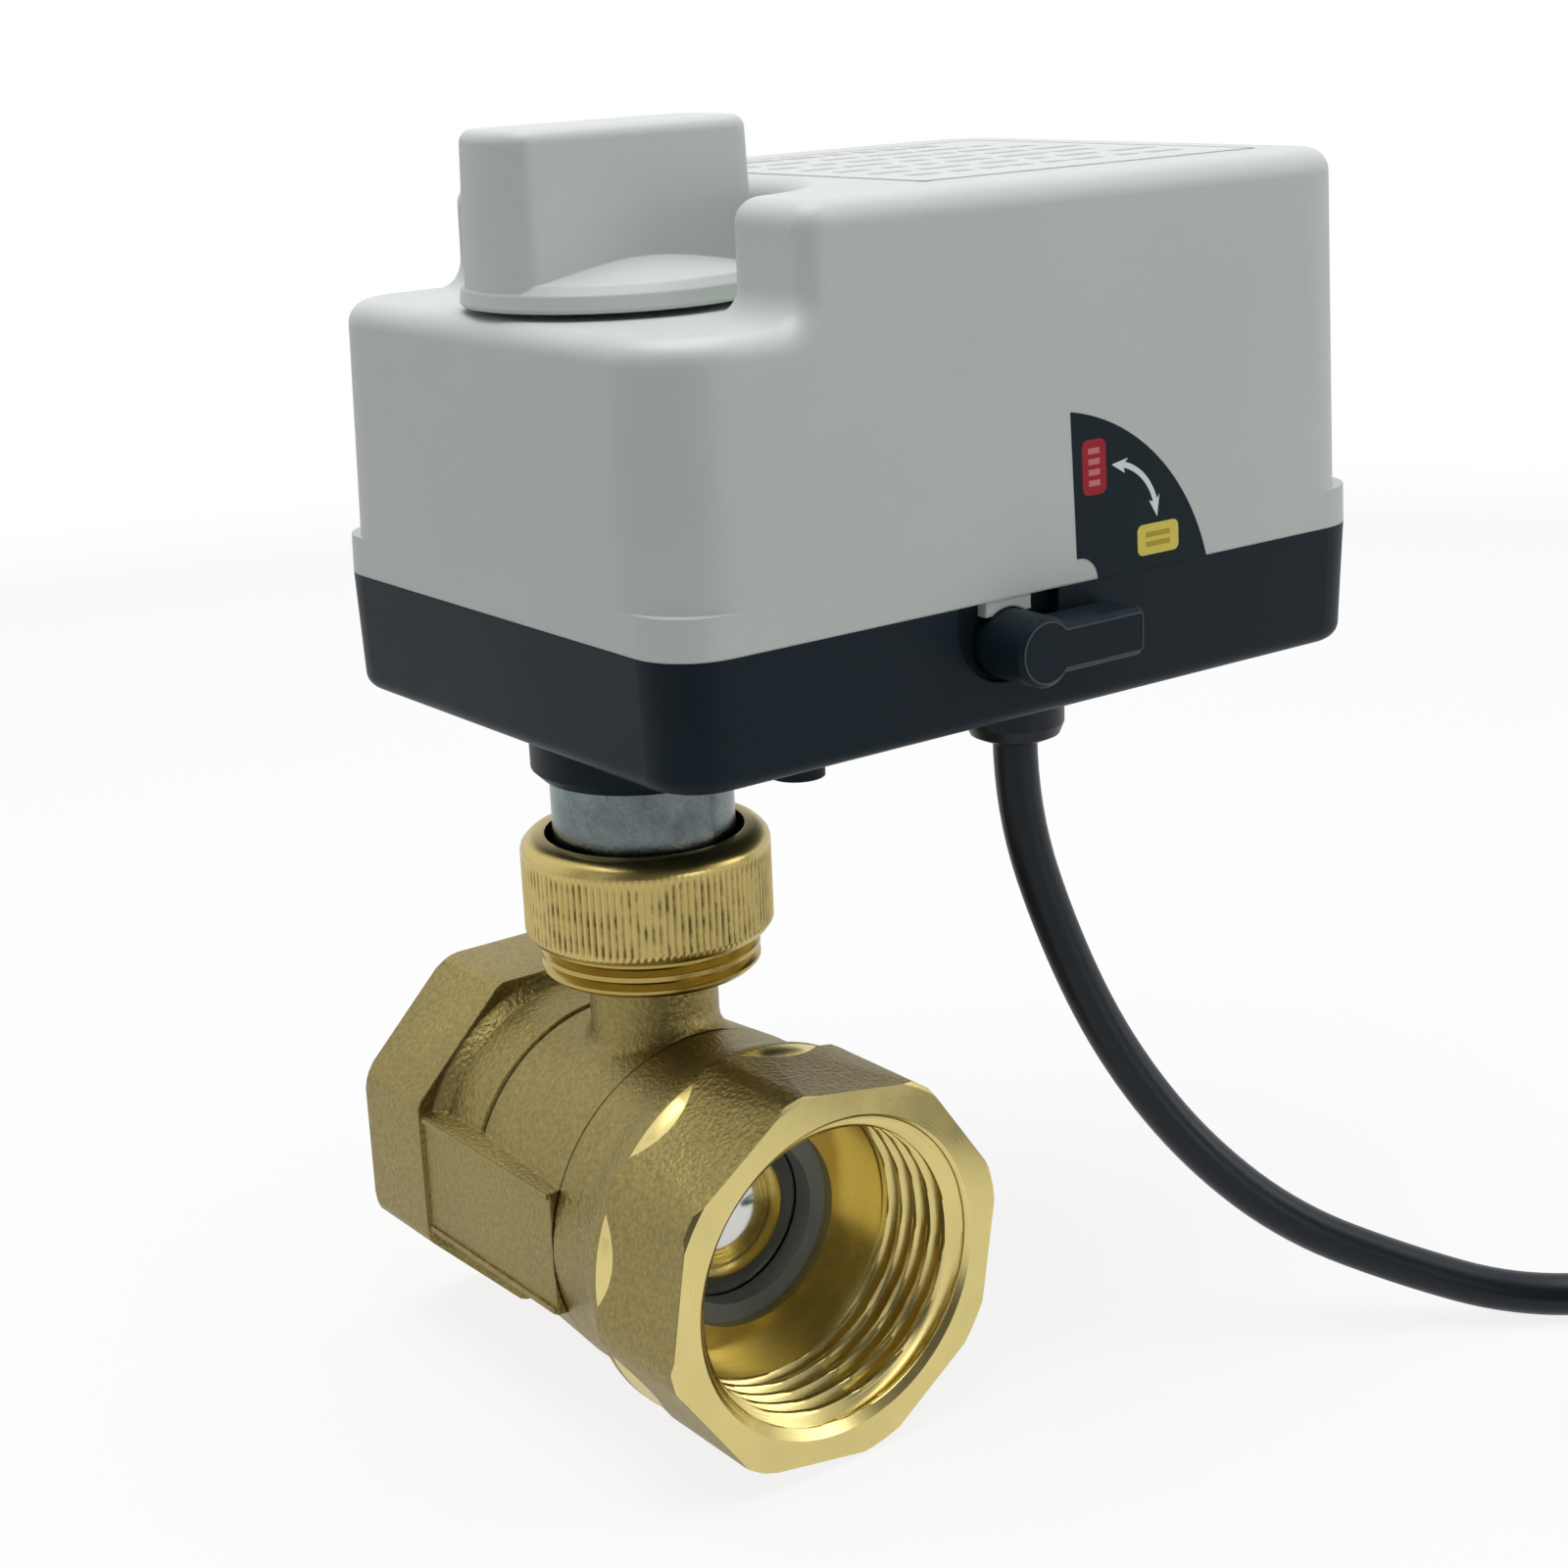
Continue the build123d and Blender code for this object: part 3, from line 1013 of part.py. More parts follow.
with BuildPart() as cable_clamp:
    post(*GLAND, CLAMP_R, FLOOR_TOP + GLAND_FLANGE_THICK, JACKET_END - 0.4)
    post(*GLAND, CABLE_R + SNUG, FLOOR_TOP, JACKET_END, mode=Mode.SUBTRACT)
keep(cable_clamp, "cable_clamp", WHITE)


def arc_radii(points):
    """The radius of each corner of a route: 0.45 of its shorter run over the tangent of half its turn."""
    radii = []
    for before, corner, after in zip(points, points[1:], points[2:]):
        run_in = Vector(*corner) - Vector(*before)
        run_out = Vector(*after) - Vector(*corner)
        half_turn = radians(run_in.get_angle(run_out)) / 2
        radii.append(0.45 * min(run_in.length, run_out.length) / tan(half_turn))
    return radii


def tube(points, radius, radii, label):
    """A round tube along straight runs joined by tangent arcs."""
    with BuildLine() as route:
        FilletPolyline(*points, radius=radii)
    with BuildSketch(Plane(points[0], z_dir=route.line % 0)) as section:
        Circle(radius)
    sweep(section.sketch, path=route.wire())
    length = route.wire().length
    print(label, "radii", [round(r, 1) for r in radii], "length", round(length, 1), end=" ")
    print("section times length", round(pi * radius ** 2 * length, 1))


def in_frame(points):
    """Route points given from the stem, moved to the frame of the pipe."""
    return [(x, STEM_Y + y, z) for x, y, z in points]


with BuildPart() as inner_cores:
    for core in (-1, 0, 1):
        x, y = GLAND[0], GLAND[1] + core * CORE_SPACING
        block_side = TERMINALS_CENTRE[0] + TERMINALS[0] / 2
        bend = in_frame([(x, y, JACKET_END), (x, y, CORE_HEIGHT), (block_side, y, CORE_HEIGHT)])
        tube(bend, CORE_R, [CORE_BEND_R], "inner core")
keep(inner_cores, "inner_cores", WHITE)

with BuildPart() as power_cable:
    route = in_frame(CABLE_ROUTE)
    tube(route, CABLE_R, arc_radii(route), "power cable")
print("power cable volume", round(power_cable.part.volume, 1))
keep(power_cable, "power_cable", BLACK)


def least_gap(line, radius):
    """The least clear gap between stretches of a tube that lie well apart along it."""
    length = line.length
    count = int(length / radius)
    points = [line.position_at(i / count) for i in range(count + 1)]
    apart = int(8 * radius / (length / count))
    distances = [(points[i] - points[j]).length for i in range(count) for j in range(i + apart, count + 1)]
    return min(distances) - 2 * radius


with BuildPart() as cable_coil:
    entry = Vector(*in_frame(CABLE_ROUTE)[-1])
    heading = (entry - Vector(*in_frame(CABLE_ROUTE)[-2])).normalized()
    with BuildLine() as turns:
        Line(entry, entry + heading * 2 * CABLE_R)
        for half in range(HALF_TURNS):
            radius = COIL_OUTER_R - half * COIL_PITCH / 2
            JernArc(start=turns.line @ 1, tangent=turns.line % 1, radius=radius, arc_size=-180)
        JernArc(start=turns.line @ 1, tangent=turns.line % 1, radius=COIL_END_R, arc_size=-90)
        Line(turns.line @ 1, turns.line @ 1 + (turns.line % 1) * 2 * CABLE_R)
    with BuildSketch(Plane(entry, z_dir=heading)):
        Circle(CABLE_R)
    sweep(path=turns.wire())
print("coil length", round(turns.wire().length, 1), "least gap", round(least_gap(turns.wire(), CABLE_R), 2))
print("coil volume", round(cable_coil.part.volume, 1), round(pi * CABLE_R ** 2 * turns.wire().length, 1))
keep(cable_coil, "cable_coil", BLACK)

# Tie round the coil, bare leads and their ferrules

coil_heading = turns.wire() % 0
coil_centre = entry + coil_heading * 2 * CABLE_R + coil_heading.rotate(Axis.Z, -90) * COIL_OUTER_R
strap_out = coil_heading.rotate(Axis.Z, TIE_ANGLE)
strap_middle = coil_centre + strap_out * (COIL_OUTER_R - COIL_PITCH / 2)
strap_plane = Plane(strap_middle, x_dir=strap_out, z_dir=strap_out.cross(Vector(0, 0, 1)))

with BuildPart() as cable_tie:
    bundle = (COIL_PITCH + 2 * CABLE_R + TIE_SLACK, 2 * (CABLE_R + SNUG))
    with BuildSketch(strap_plane):
        RectangleRounded(bundle[0] + 2 * TIE_THICK, bundle[1] + 2 * TIE_THICK, CABLE_R)
        RectangleRounded(*bundle, CABLE_R - TIE_THICK, mode=Mode.SUBTRACT)
    extrude(amount=TIE_WIDTH / 2, both=True)
    with BuildSketch(strap_plane):
        with Locations((0, CABLE_R + TIE_THICK + TIE_HEAD[1] / 2 - 0.2)):
            Rectangle(TIE_HEAD[0], TIE_HEAD[1])
    extrude(amount=TIE_HEAD[2] / 2, both=True)
keep(cable_tie, "cable_tie", WHITE)

coil_end = turns.wire() @ 1
onward = turns.wire() % 1
rightward = onward.rotate(Axis.Z, -90)
LEAD_COLOURS = {"brown_lead": Color(0.35, 0.18, 0.09), "blue_lead": Color(0.10, 0.25, 0.60)}
LEAD_COLOURS["signal_lead"] = Color(0.75, 0.70, 0.15)
lead_routes = {}
for name, steps in LEADS.items():
    flat = [coil_end + onward * along + rightward * right for along, right in steps]
    lead_routes[name] = [(point.X, point.Y, z) for point, z in zip(flat, LEAD_HEIGHTS)]
    with BuildPart() as lead:
        tube(lead_routes[name], CORE_R, arc_radii(lead_routes[name]), name)
    keep(lead, name, LEAD_COLOURS[name])

with BuildPart() as lead_ferrules:
    collar_r, collar_length, pin_r, pin_length = FERRULE
    for points in lead_routes.values():
        tip = Vector(*points[-1])
        ahead = (tip - Vector(*points[-2])).normalized()
        with BuildSketch(Plane(tip, z_dir=ahead)):
            Circle(collar_r)
        extrude(amount=collar_length)
        with BuildSketch(Plane(tip + ahead * collar_length, z_dir=ahead)):
            Circle(pin_r)
        extrude(amount=pin_length)
keep(lead_ferrules, "lead_ferrules", STEEL)
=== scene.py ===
"""Motorized ball valve: the finish of every surface, the cable and the scene round them.

The frame is the part's own: metres, the pipe along Y, the inlet face at y = 0, the stem upright.
"""

from math import asin, cos, degrees, pi, radians, sin, tan
from random import Random

import bmesh
import bpy
from mathutils import Matrix, Vector


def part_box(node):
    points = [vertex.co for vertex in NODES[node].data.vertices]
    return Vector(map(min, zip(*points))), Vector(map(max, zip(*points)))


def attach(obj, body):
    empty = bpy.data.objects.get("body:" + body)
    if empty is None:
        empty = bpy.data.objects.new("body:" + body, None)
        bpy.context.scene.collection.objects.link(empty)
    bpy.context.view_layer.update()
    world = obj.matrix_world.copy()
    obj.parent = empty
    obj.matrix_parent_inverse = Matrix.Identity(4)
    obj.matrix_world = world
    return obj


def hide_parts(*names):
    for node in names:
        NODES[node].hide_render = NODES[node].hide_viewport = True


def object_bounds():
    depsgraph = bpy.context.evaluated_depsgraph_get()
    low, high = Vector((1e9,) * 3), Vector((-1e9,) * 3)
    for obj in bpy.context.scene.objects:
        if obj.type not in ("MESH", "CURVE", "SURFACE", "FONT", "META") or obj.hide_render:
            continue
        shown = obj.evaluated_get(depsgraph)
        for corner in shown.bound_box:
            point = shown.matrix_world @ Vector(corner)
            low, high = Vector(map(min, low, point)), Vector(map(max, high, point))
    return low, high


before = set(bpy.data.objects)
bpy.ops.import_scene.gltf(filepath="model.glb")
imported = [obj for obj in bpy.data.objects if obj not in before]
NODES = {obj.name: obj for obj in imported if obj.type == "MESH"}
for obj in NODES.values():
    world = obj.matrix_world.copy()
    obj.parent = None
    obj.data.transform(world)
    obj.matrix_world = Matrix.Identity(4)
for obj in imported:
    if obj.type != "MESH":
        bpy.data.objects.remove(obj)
CAD_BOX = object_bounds()
MM = 0.001

# Sizes that the pieces share with the frame: lengths in millimetres, the draft in radians
STEM_Y = 30.75
BODY_LENGTH = 61.5
CABLE_R = 2.3
CABLE_Z = -18.03
PARTING = 65.4
BOX_Y = 32.2
COVER_DRAFT = radians(1.7)
ROOF = 104.4


def place(*point):
    """A point given in millimetres from the stem axis, as a vector of the frame in metres."""
    x, y, z = point
    return Vector((x, y + STEM_Y, z)) * MM


# Node trees


def feed(tree, node, inputs):
    """Set the inputs of a node, or link them where the value is a socket."""
    for name, value in inputs.items():
        if isinstance(value, bpy.types.NodeSocket):
            tree.links.new(value, node.inputs[name])
        else:
            node.inputs[name].default_value = value


def add_node(tree, kind, inputs=None, **settings):
    """A new node with its settings made and its inputs fed."""
    made = tree.nodes.new(kind)
    for name, value in settings.items():
        setattr(made, name, value)
    feed(tree, made, inputs or {})
    return made


def combine(tree, operation, first, second=0.0, third=0.0):
    """The output of one Math node."""
    inputs = {0: first, 1: second, 2: third}
    return add_node(tree, "ShaderNodeMath", inputs, operation=operation).outputs[0]


def combine_vectors(tree, operation, output, inputs):
    """One output of one Vector Math node."""
    return add_node(tree, "ShaderNodeVectorMath", inputs, operation=operation).outputs[output]


def split(tree, vector):
    """The x, y and z of a vector."""
    return add_node(tree, "ShaderNodeSeparateXYZ", {0: vector}).outputs


def join(tree, inputs):
    """A vector with these parts, and with the others at zero."""
    return add_node(tree, "ShaderNodeCombineXYZ", inputs).outputs[0]


def remap(tree, value, low, high, from_low=0.0, from_high=1.0, smooth=False):
    """A value carried from one range to another and kept inside it."""
    inputs = {"Value": value, 1: from_low, 2: from_high, 3: low, 4: high}
    kind = "SMOOTHSTEP" if smooth else "LINEAR"
    return add_node(tree, "ShaderNodeMapRange", inputs, interpolation_type=kind).outputs[0]


def noise(tree, where, scale, detail=2.0, **settings):
    """The value of a noise texture at a place."""
    inputs = {"Vector": where, "Scale": scale, "Detail": detail}
    return add_node(tree, "ShaderNodeTexNoise", inputs, **settings).outputs[0]


def mix_shaders(tree, share, first, second):
    """Two shaders mixed, with the share of the second."""
    inputs = {0: share, 1: first, 2: second}
    return add_node(tree, "ShaderNodeMixShader", inputs).outputs[0]


# Materials

NOISE_RANGE = (0.3, 0.7)
GRAIN_DEPTH = 0.00015
GLOSS_DRIFT = (-0.05, 0.05)
TURNED_GLOSS_DRIFT = (-0.04, 0.06)
SEAM_HALF = (0.07, 0.16)
SEAM_SHADE = 0.25
RING_SCALE = 5200.0
RING_BUMP = 0.12
RING_DEPTH = 0.00004
TURNED_PATCH = 140.0
BRUSHED = 0.35
# Scale of the patches of painted shade in the knurl grooves
GROOVE_SHADE_SCALE = 520.0


def new_surface(name):
    """A new material, its node tree, its shader and the place on the object."""
    material = bpy.data.materials.new(name)
    material.use_nodes = True
    tree = material.node_tree
    where = add_node(tree, "ShaderNodeTexCoord").outputs["Object"]
    return material, tree, tree.nodes["Principled BSDF"], where


def shaded(tree, colour, value):
    """A colour made darker or lighter by a value."""
    inputs = {"Color": (*colour, 1), "Value": value}
    return add_node(tree, "ShaderNodeHueSaturation", inputs).outputs[0]


def seam_shade(tree, where, along, within):
    """How far the pipe darkens in a fine seam round it, at a distance along it, within a radius."""
    x, y, z = split(tree, where)
    apart = combine(tree, "ABSOLUTE", combine(tree, "SUBTRACT", y, along * MM))
    line = remap(tree, apart, SEAM_SHADE, 1.0, *(half * MM for half in SEAM_HALF), smooth=True)
    radius = combine_vectors(tree, "LENGTH", "Value", {0: join(tree, {0: x, 1: z})})
    outside = combine(tree, "GREATER_THAN", radius, within * MM)
    return combine(tree, "MAXIMUM", line, outside)


def finish_of(
    name, colour, roughness, metallic=0.0, specular=0.5,
    tint=0.06, patch=90.0, grain=2600.0, speckle=0.3, bump=0.1, edge=0.0, seams=(),
):
    """A surface whose colour and gloss drift slowly, with a fine grain.

    Where asked, its edges are softened and fine seams run round it.
    """
    material, tree, surface, where = new_surface(name)
    slow = noise(tree, where, patch, 3.0)
    fine = noise(tree, where, grain, 3.0)
    both = combine(tree, "MULTIPLY_ADD", fine, speckle, slow)
    both_range = (bound * (1 + speckle) for bound in NOISE_RANGE)
    value = remap(tree, both, 1 - tint, 1 + tint, *both_range)
    for seam in seams:
        value = combine(tree, "MULTIPLY", value, seam_shade(tree, where, *seam))
    inputs = {"Height": fine, "Strength": bump, "Distance": GRAIN_DEPTH}
    relief = add_node(tree, "ShaderNodeBump", inputs)
    if edge:
        softened = add_node(tree, "ShaderNodeBevel", {"Radius": edge}, samples=4)
        feed(tree, relief, {"Normal": softened.outputs[0]})
    gloss = (roughness + drift for drift in GLOSS_DRIFT)
    feed(tree, surface, {
        "Base Color": shaded(tree, colour, value),
        "Roughness": remap(tree, slow, *gloss, *NOISE_RANGE),
        "Metallic": metallic,
        "Specular IOR Level": specular,
        "Normal": relief.outputs[0],
    })
    return material


def turned_finish(name, colour, roughness, axis, centre=(0.0, 0.0), painted_groove_shade=None):
    """A turned metal surface: fine rings about the part's own axis and, where asked, painted shade
    that darkens its grooves in patches.
    """
    material, tree, surface, where = new_surface(name)
    x, y, z = split(tree, where)
    across, along = (y, z) if axis == "Z" else (z, y)
    square_x = combine(tree, "POWER", combine(tree, "SUBTRACT", x, centre[0]), 2.0)
    square_y = combine(tree, "POWER", combine(tree, "SUBTRACT", across, centre[1]), 2.0)
    radius = combine(tree, "SQRT", combine(tree, "ADD", square_x, square_y))
    rings = join(tree, {0: radius, 1: along})
    cut = noise(tree, rings, RING_SCALE, 2.0, noise_dimensions="2D")
    slow = noise(tree, where, TURNED_PATCH, 3.0)
    both = combine(tree, "MULTIPLY_ADD", cut, 0.5, slow)
    value = remap(tree, both, low=0.9, high=1.08, from_low=0.45, from_high=1.05)
    shade = shaded(tree, colour, value)
    # Where asked, the grooves are painted darker towards their bottoms, in patches: painted shade
    # in the recesses.
    if painted_groove_shade:
        depth = add_node(tree, "ShaderNodeAttribute", attribute_name="groove").outputs["Fac"]
        mottle = noise(tree, where, GROOVE_SHADE_SCALE, 4.0)
        patchy = remap(tree, mottle, low=0.15, high=1.0, from_low=0.42, from_high=0.66)
        inside = remap(tree, depth, low=0.0, high=1.0, from_low=0.1, from_high=0.9)
        shade_amount = combine(tree, "MULTIPLY", inside, patchy)
        inputs = {"Fac": shade_amount, "Color1": shade, "Color2": (*painted_groove_shade, 1)}
        shade = add_node(tree, "ShaderNodeMixRGB", inputs).outputs[0]
    inputs = {"Height": cut, "Strength": RING_BUMP, "Distance": RING_DEPTH}
    relief = add_node(tree, "ShaderNodeBump", inputs)
    gloss = (roughness + drift for drift in TURNED_GLOSS_DRIFT)
    feed(tree, surface, {
        "Base Color": shade,
        "Roughness": remap(tree, slow, *gloss, *NOISE_RANGE),
        "Metallic": 1.0,
        "Anisotropic": BRUSHED,
        "Normal": relief.outputs[0],
    })
    return material


def print_finish(name, colour, roughness=0.38):
    """Printed film: a flat colour with a faint mottle."""
    return finish_of(
        name, colour, roughness, specular=0.1, tint=0.03, patch=160.0, grain=1500.0, bump=0.02
    )


STEM_CENTRE = (0.0, STEM_Y * MM)
SEAMS = [(STEM_Y - 7.4, 19.05), (STEM_Y + 10.0, 18.2)]
MOULDED_AND_CAST = {
    "forged_brass": dict(
        colour=(0.315, 0.25, 0.092), roughness=0.43, metallic=1.0,
        tint=0.27, patch=70.0, grain=1900.0, speckle=2.0, bump=1.0, edge=0.0004, seams=SEAMS,
    ),
    "zinc_steel": dict(
        colour=(0.175, 0.21, 0.21), roughness=0.26, metallic=1.0,
        tint=0.38, patch=260.0, grain=2400.0, speckle=0.6, bump=0.22,
    ),
    "chromed_ball": dict(
        colour=(0.72, 0.72, 0.69), roughness=0.10, metallic=1.0, tint=0.02, bump=0.005
    ),
    "grey_plastic": dict(
        colour=(0.585, 0.62, 0.595), roughness=0.42,
        tint=0.025, patch=35.0, grain=2100.0, speckle=0.12, bump=0.06, edge=0.00035,
    ),
    "black_plastic": dict(
        colour=(0.008, 0.017, 0.024), roughness=0.42, specular=0.12,
        tint=0.10, patch=60.0, grain=2100.0, speckle=0.2, bump=0.08, edge=0.0003,
    ),
    "black_rubber": dict(
        colour=(0.007, 0.012, 0.019), roughness=0.36, specular=0.3,
        tint=0.12, patch=110.0, grain=1600.0, bump=0.05,
    ),
    "white_nylon": dict(colour=(0.78, 0.77, 0.72), roughness=0.45),
    "white_seal": dict(colour=(0.88, 0.88, 0.86), roughness=0.5),
    "dark_seat": dict(colour=(0.21, 0.235, 0.24), roughness=0.36, tint=0.1),
    "green_board": dict(colour=(0.04, 0.20, 0.09), roughness=0.35),
    "orange_case": dict(colour=(0.60, 0.20, 0.06), roughness=0.3),
    "brown_core": dict(colour=(0.16, 0.07, 0.03), roughness=0.4),
    "blue_core": dict(colour=(0.05, 0.13, 0.45), roughness=0.4),
    "yellow_core": dict(colour=(0.65, 0.55, 0.08), roughness=0.4),
}
TURNED = {
    "turned_brass": dict(colour=(0.78, 0.65, 0.265), roughness=0.24, axis="Y"),
    "knurled_brass": dict(
        colour=(0.62, 0.49, 0.18), roughness=0.29, axis="Z", centre=STEM_CENTRE,
        # The colour painted into the knurl grooves: painted shade.
        painted_groove_shade=(0.10, 0.065, 0.02),
    ),
    "stem_head_brass": dict(
        colour=(0.50, 0.38, 0.12), roughness=0.24, axis="Z", centre=STEM_CENTRE
    ),
}
FINISHES = {name: finish_of(name, **given) for name, given in MOULDED_AND_CAST.items()}
FINISHES |= {name: turned_finish(name, **given) for name, given in TURNED.items()}


def dress_nodes():
    """Give each solid of the frame the finish that its slot is named after."""
    for node in NODES.values():
        for socket in node.material_slots:
            socket.material = FINISHES[socket.material.name.split(".")[0]]


# Meshes


def mesh_of(form, name):
    """The mesh that a form makes, which ends the form."""
    mesh = bpy.data.meshes.new(name)
    form.to_mesh(mesh)
    form.free()
    return mesh


def linked(name, data):
    """A new object of the scene that holds this mesh, curve, lamp or camera."""
    obj = bpy.data.objects.new(name, data)
    bpy.context.collection.objects.link(obj)
    return obj


def show(name, mesh, slot, body, *replaced):
    """Put a finished mesh in the scene as a piece that rides on a body."""
    obj = linked(name, mesh)
    if replaced:
        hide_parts(*replaced)
    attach(obj, body)


def fill_between(form, loops):
    """Quads between each closed loop of vertices and the next one."""
    for first, second in zip(loops, loops[1:]):
        for index in range(len(first)):
            after = (index + 1) % len(first)
            form.faces.new((first[index], first[after], second[after], second[index]))


def lathe(name, outline, segments, closed=True):
    """A mesh turned about the z axis from (radius, height) points in millimetres."""
    form = bmesh.new()
    angles = [2 * pi * index / segments for index in range(segments)]
    rings = [
        [form.verts.new((radius * cos(a) * MM, radius * sin(a) * MM, height * MM)) for a in angles]
        for radius, height in outline
    ]
    fill_between(form, rings + rings[:1] if closed else rings)
    bmesh.ops.recalc_face_normals(form, faces=form.faces)
    mesh = mesh_of(form, name)
    mesh.shade_smooth()
    return mesh


def spread(outline, step):
    """The outline with points added so that none lie further apart than the step."""
    points = []
    for first, second in zip(outline, outline[1:]):
        run = Vector(second) - Vector(first)
        count = max(1, round(run.length / step))
        points += [tuple(Vector(first) + run * index / count) for index in range(count)]
    return points + [outline[-1]]


def new_group(name, sockets):
    """A geometry node group with these inputs after its geometry, and the outputs of its start."""
    tree = bpy.data.node_groups.new(name, "GeometryNodeTree")
    for label, kind in {"Geometry": "Geometry", **sockets}.items():
        tree.interface.new_socket(label, in_out="INPUT", socket_type=f"NodeSocket{kind}")
    tree.interface.new_socket("Geometry", in_out="OUTPUT", socket_type="NodeSocketGeometry")
    return tree, add_node(tree, "NodeGroupInput").outputs


def end_group(tree, geometry, material):
    """Send a group's geometry to its end, as a real mesh of one material."""
    real = add_node(tree, "GeometryNodeRealizeInstances", {"Geometry": geometry}).outputs[0]
    inputs = {"Geometry": real, "Material": material}
    painted = add_node(tree, "GeometryNodeSetMaterial", inputs).outputs[0]
    add_node(tree, "NodeGroupOutput", {"Geometry": painted})


def groove_group():
    """Geometry nodes that cut even V grooves into a turned blank: straight ones, or one helix."""
    sizes = ("Grooves per Turn", "Grooves per Metre", "Width", "Depth", "From", "To", "Fade")
    sockets = {**dict.fromkeys(sizes, "Float"), "Material": "Material"}
    tree, given = new_group("cut_grooves", sockets)
    x, y, z = split(tree, add_node(tree, "GeometryNodeInputPosition").outputs[0])
    turn = combine(tree, "DIVIDE", combine(tree, "ARCTAN2", y, x), 2 * pi)
    around = combine(tree, "MULTIPLY", turn, given["Grooves per Turn"])
    phase = combine(tree, "MULTIPLY_ADD", z, given["Grooves per Metre"], around)
    fraction = combine(tree, "FRACT", phase)
    apart = combine(tree, "ABSOLUTE", combine(tree, "MULTIPLY_ADD", fraction, 2.0, -1.0))
    groove = remap(tree, combine(tree, "DIVIDE", apart, given["Width"]), 1.0, 0.0)
    past_start = combine(tree, "SUBTRACT", z, given["From"])
    before_end = combine(tree, "SUBTRACT", given["To"], z)
    start = remap(tree, combine(tree, "DIVIDE", past_start, given["Fade"]), 0.0, 1.0)
    end = remap(tree, combine(tree, "DIVIDE", before_end, given["Fade"]), 0.0, 1.0)
    cut = combine(tree, "MULTIPLY", groove, combine(tree, "MULTIPLY", start, end))
    outward = combine_vectors(tree, "NORMALIZE", 0, {0: join(tree, {0: x, 1: y})})
    reach = combine(tree, "MULTIPLY", cut, given["Depth"])
    offset = combine_vectors(tree, "SCALE", 0, {0: outward, "Scale": reach})
    inputs = {"Geometry": given["Geometry"], "Offset": offset}
    moved = add_node(tree, "GeometryNodeSetPosition", inputs).outputs[0]
    inputs = {"Geometry": moved, "Name": "groove", "Value": cut}
    marked = add_node(tree, "GeometryNodeStoreNamedAttribute", inputs).outputs[0]
    end_group(tree, marked, given["Material"])
    return tree


def screw_group(part):
    """Geometry nodes that stand one screw on each given point, each turned by chance."""
    tree, given = new_group("set_screws", {"Seed": "Int", "Material": "Material"})
    screw = add_node(tree, "GeometryNodeObjectInfo", {"Object": part}).outputs["Geometry"]
    inputs = {"Seed": given["Seed"]}
    chance = add_node(tree, "FunctionNodeRandomValue", inputs, data_type="FLOAT").outputs[1]
    spin = join(tree, {2: combine(tree, "MULTIPLY", chance, 2 * pi)})
    inputs = {"Points": given["Geometry"], "Instance": screw, "Rotation": spin}
    stood = add_node(tree, "GeometryNodeInstanceOnPoints", inputs).outputs[0]
    end_group(tree, stood, given["Material"])
    return tree


def baked(mesh, tree, inputs):
    """The plain mesh that a node group makes of a mesh, with the group's named inputs."""
    holder = linked("holder", mesh)
    modifier = holder.modifiers.new("tree", "NODES")
    modifier.node_group = tree
    for item in tree.interface.items_tree:
        if item.in_out == "INPUT" and item.name in inputs:
            modifier[item.identifier] = inputs[item.name]
    graph = bpy.context.evaluated_depsgraph_get()
    result = bpy.data.meshes.new_from_object(holder.evaluated_get(graph))
    bpy.data.objects.remove(holder)
    return result


CUT_GROOVES = groove_group()


# Valve body and end cap, with their tapped bores

THREAD_MINOR_R = 15.145
THREAD_MAJOR_R = 16.62
THREAD_PITCH = 2.309
THREAD_SHARE = 0.72
THREAD_FROM = 0.35
THREAD_TO = 12.3
THREAD_FADE = 1.2
STEPS_PER_PITCH = 16
BORE_SEGMENTS = 144
MOUTH_R = 17.0
SHOULDER_DEPTH = 15.55
WALL_GAP = 0.02
WELD = 1e-6
RADIUS_SLACK = (0.03, 0.02)
DEPTH_SLACK = 0.01
RIM_SLACK = 0.05
RIM_DEPTH = 1.0
NECK_REACH = 9.6
PORT_FROM = 16.8
TURNED_SLOPE = 0.2
HEAD_FROM = 25.0
HEAD_REACH = 11.8
CAST_SHARP = radians(32)
FORGED, TURNED_FACE, HEAD_FACE = range(3)


def tapped_bore(direction):
    """The tapped wall of one port: a conical mouth and a plain bore with one helical groove."""
    mouth = MOUTH_R - THREAD_MINOR_R
    outline = [(MOUTH_R - WALL_GAP, WALL_GAP), (THREAD_MINOR_R, mouth)]
    outline += [(THREAD_MINOR_R, SHOULDER_DEPTH - WALL_GAP)]
    outline = spread(outline, THREAD_PITCH / STEPS_PER_PITCH)
    wall = baked(lathe("bore", outline, BORE_SEGMENTS, closed=False), CUT_GROOVES, {
        "Grooves per Turn": 1.0,
        "Grooves per Metre": -1 / (THREAD_PITCH * MM),
        "Width": THREAD_SHARE,
        "Depth": (THREAD_MAJOR_R - THREAD_MINOR_R) * MM,
        "From": THREAD_FROM * MM,
        "To": THREAD_TO * MM,
        "Fade": THREAD_FADE * MM,
        "Material": FINISHES["turned_brass"],
    })
    face = 0.0 if direction < 0 else BODY_LENGTH * MM
    turn = Matrix.Rotation(direction * pi / 2, 4, "X")
    wall.transform(Matrix.Translation((0, face, 0)) @ turn)
    return wall


def depth_in_port(y, direction):
    """How deep a place of the frame lies behind the face of a port, in millimetres."""
    return y / MM if direction < 0 else BODY_LENGTH - y / MM


def in_bore(point, direction):
    """Whether a point lies on the tapped wall of a port, its edges included."""
    depth = depth_in_port(point.y, direction)
    radius = Vector((point.x, point.z)).length / MM
    in_wall = THREAD_MINOR_R - RADIUS_SLACK[0] < radius < MOUTH_R + RADIUS_SLACK[1]
    return in_wall and -DEPTH_SLACK < depth < SHOULDER_DEPTH + DEPTH_SLACK


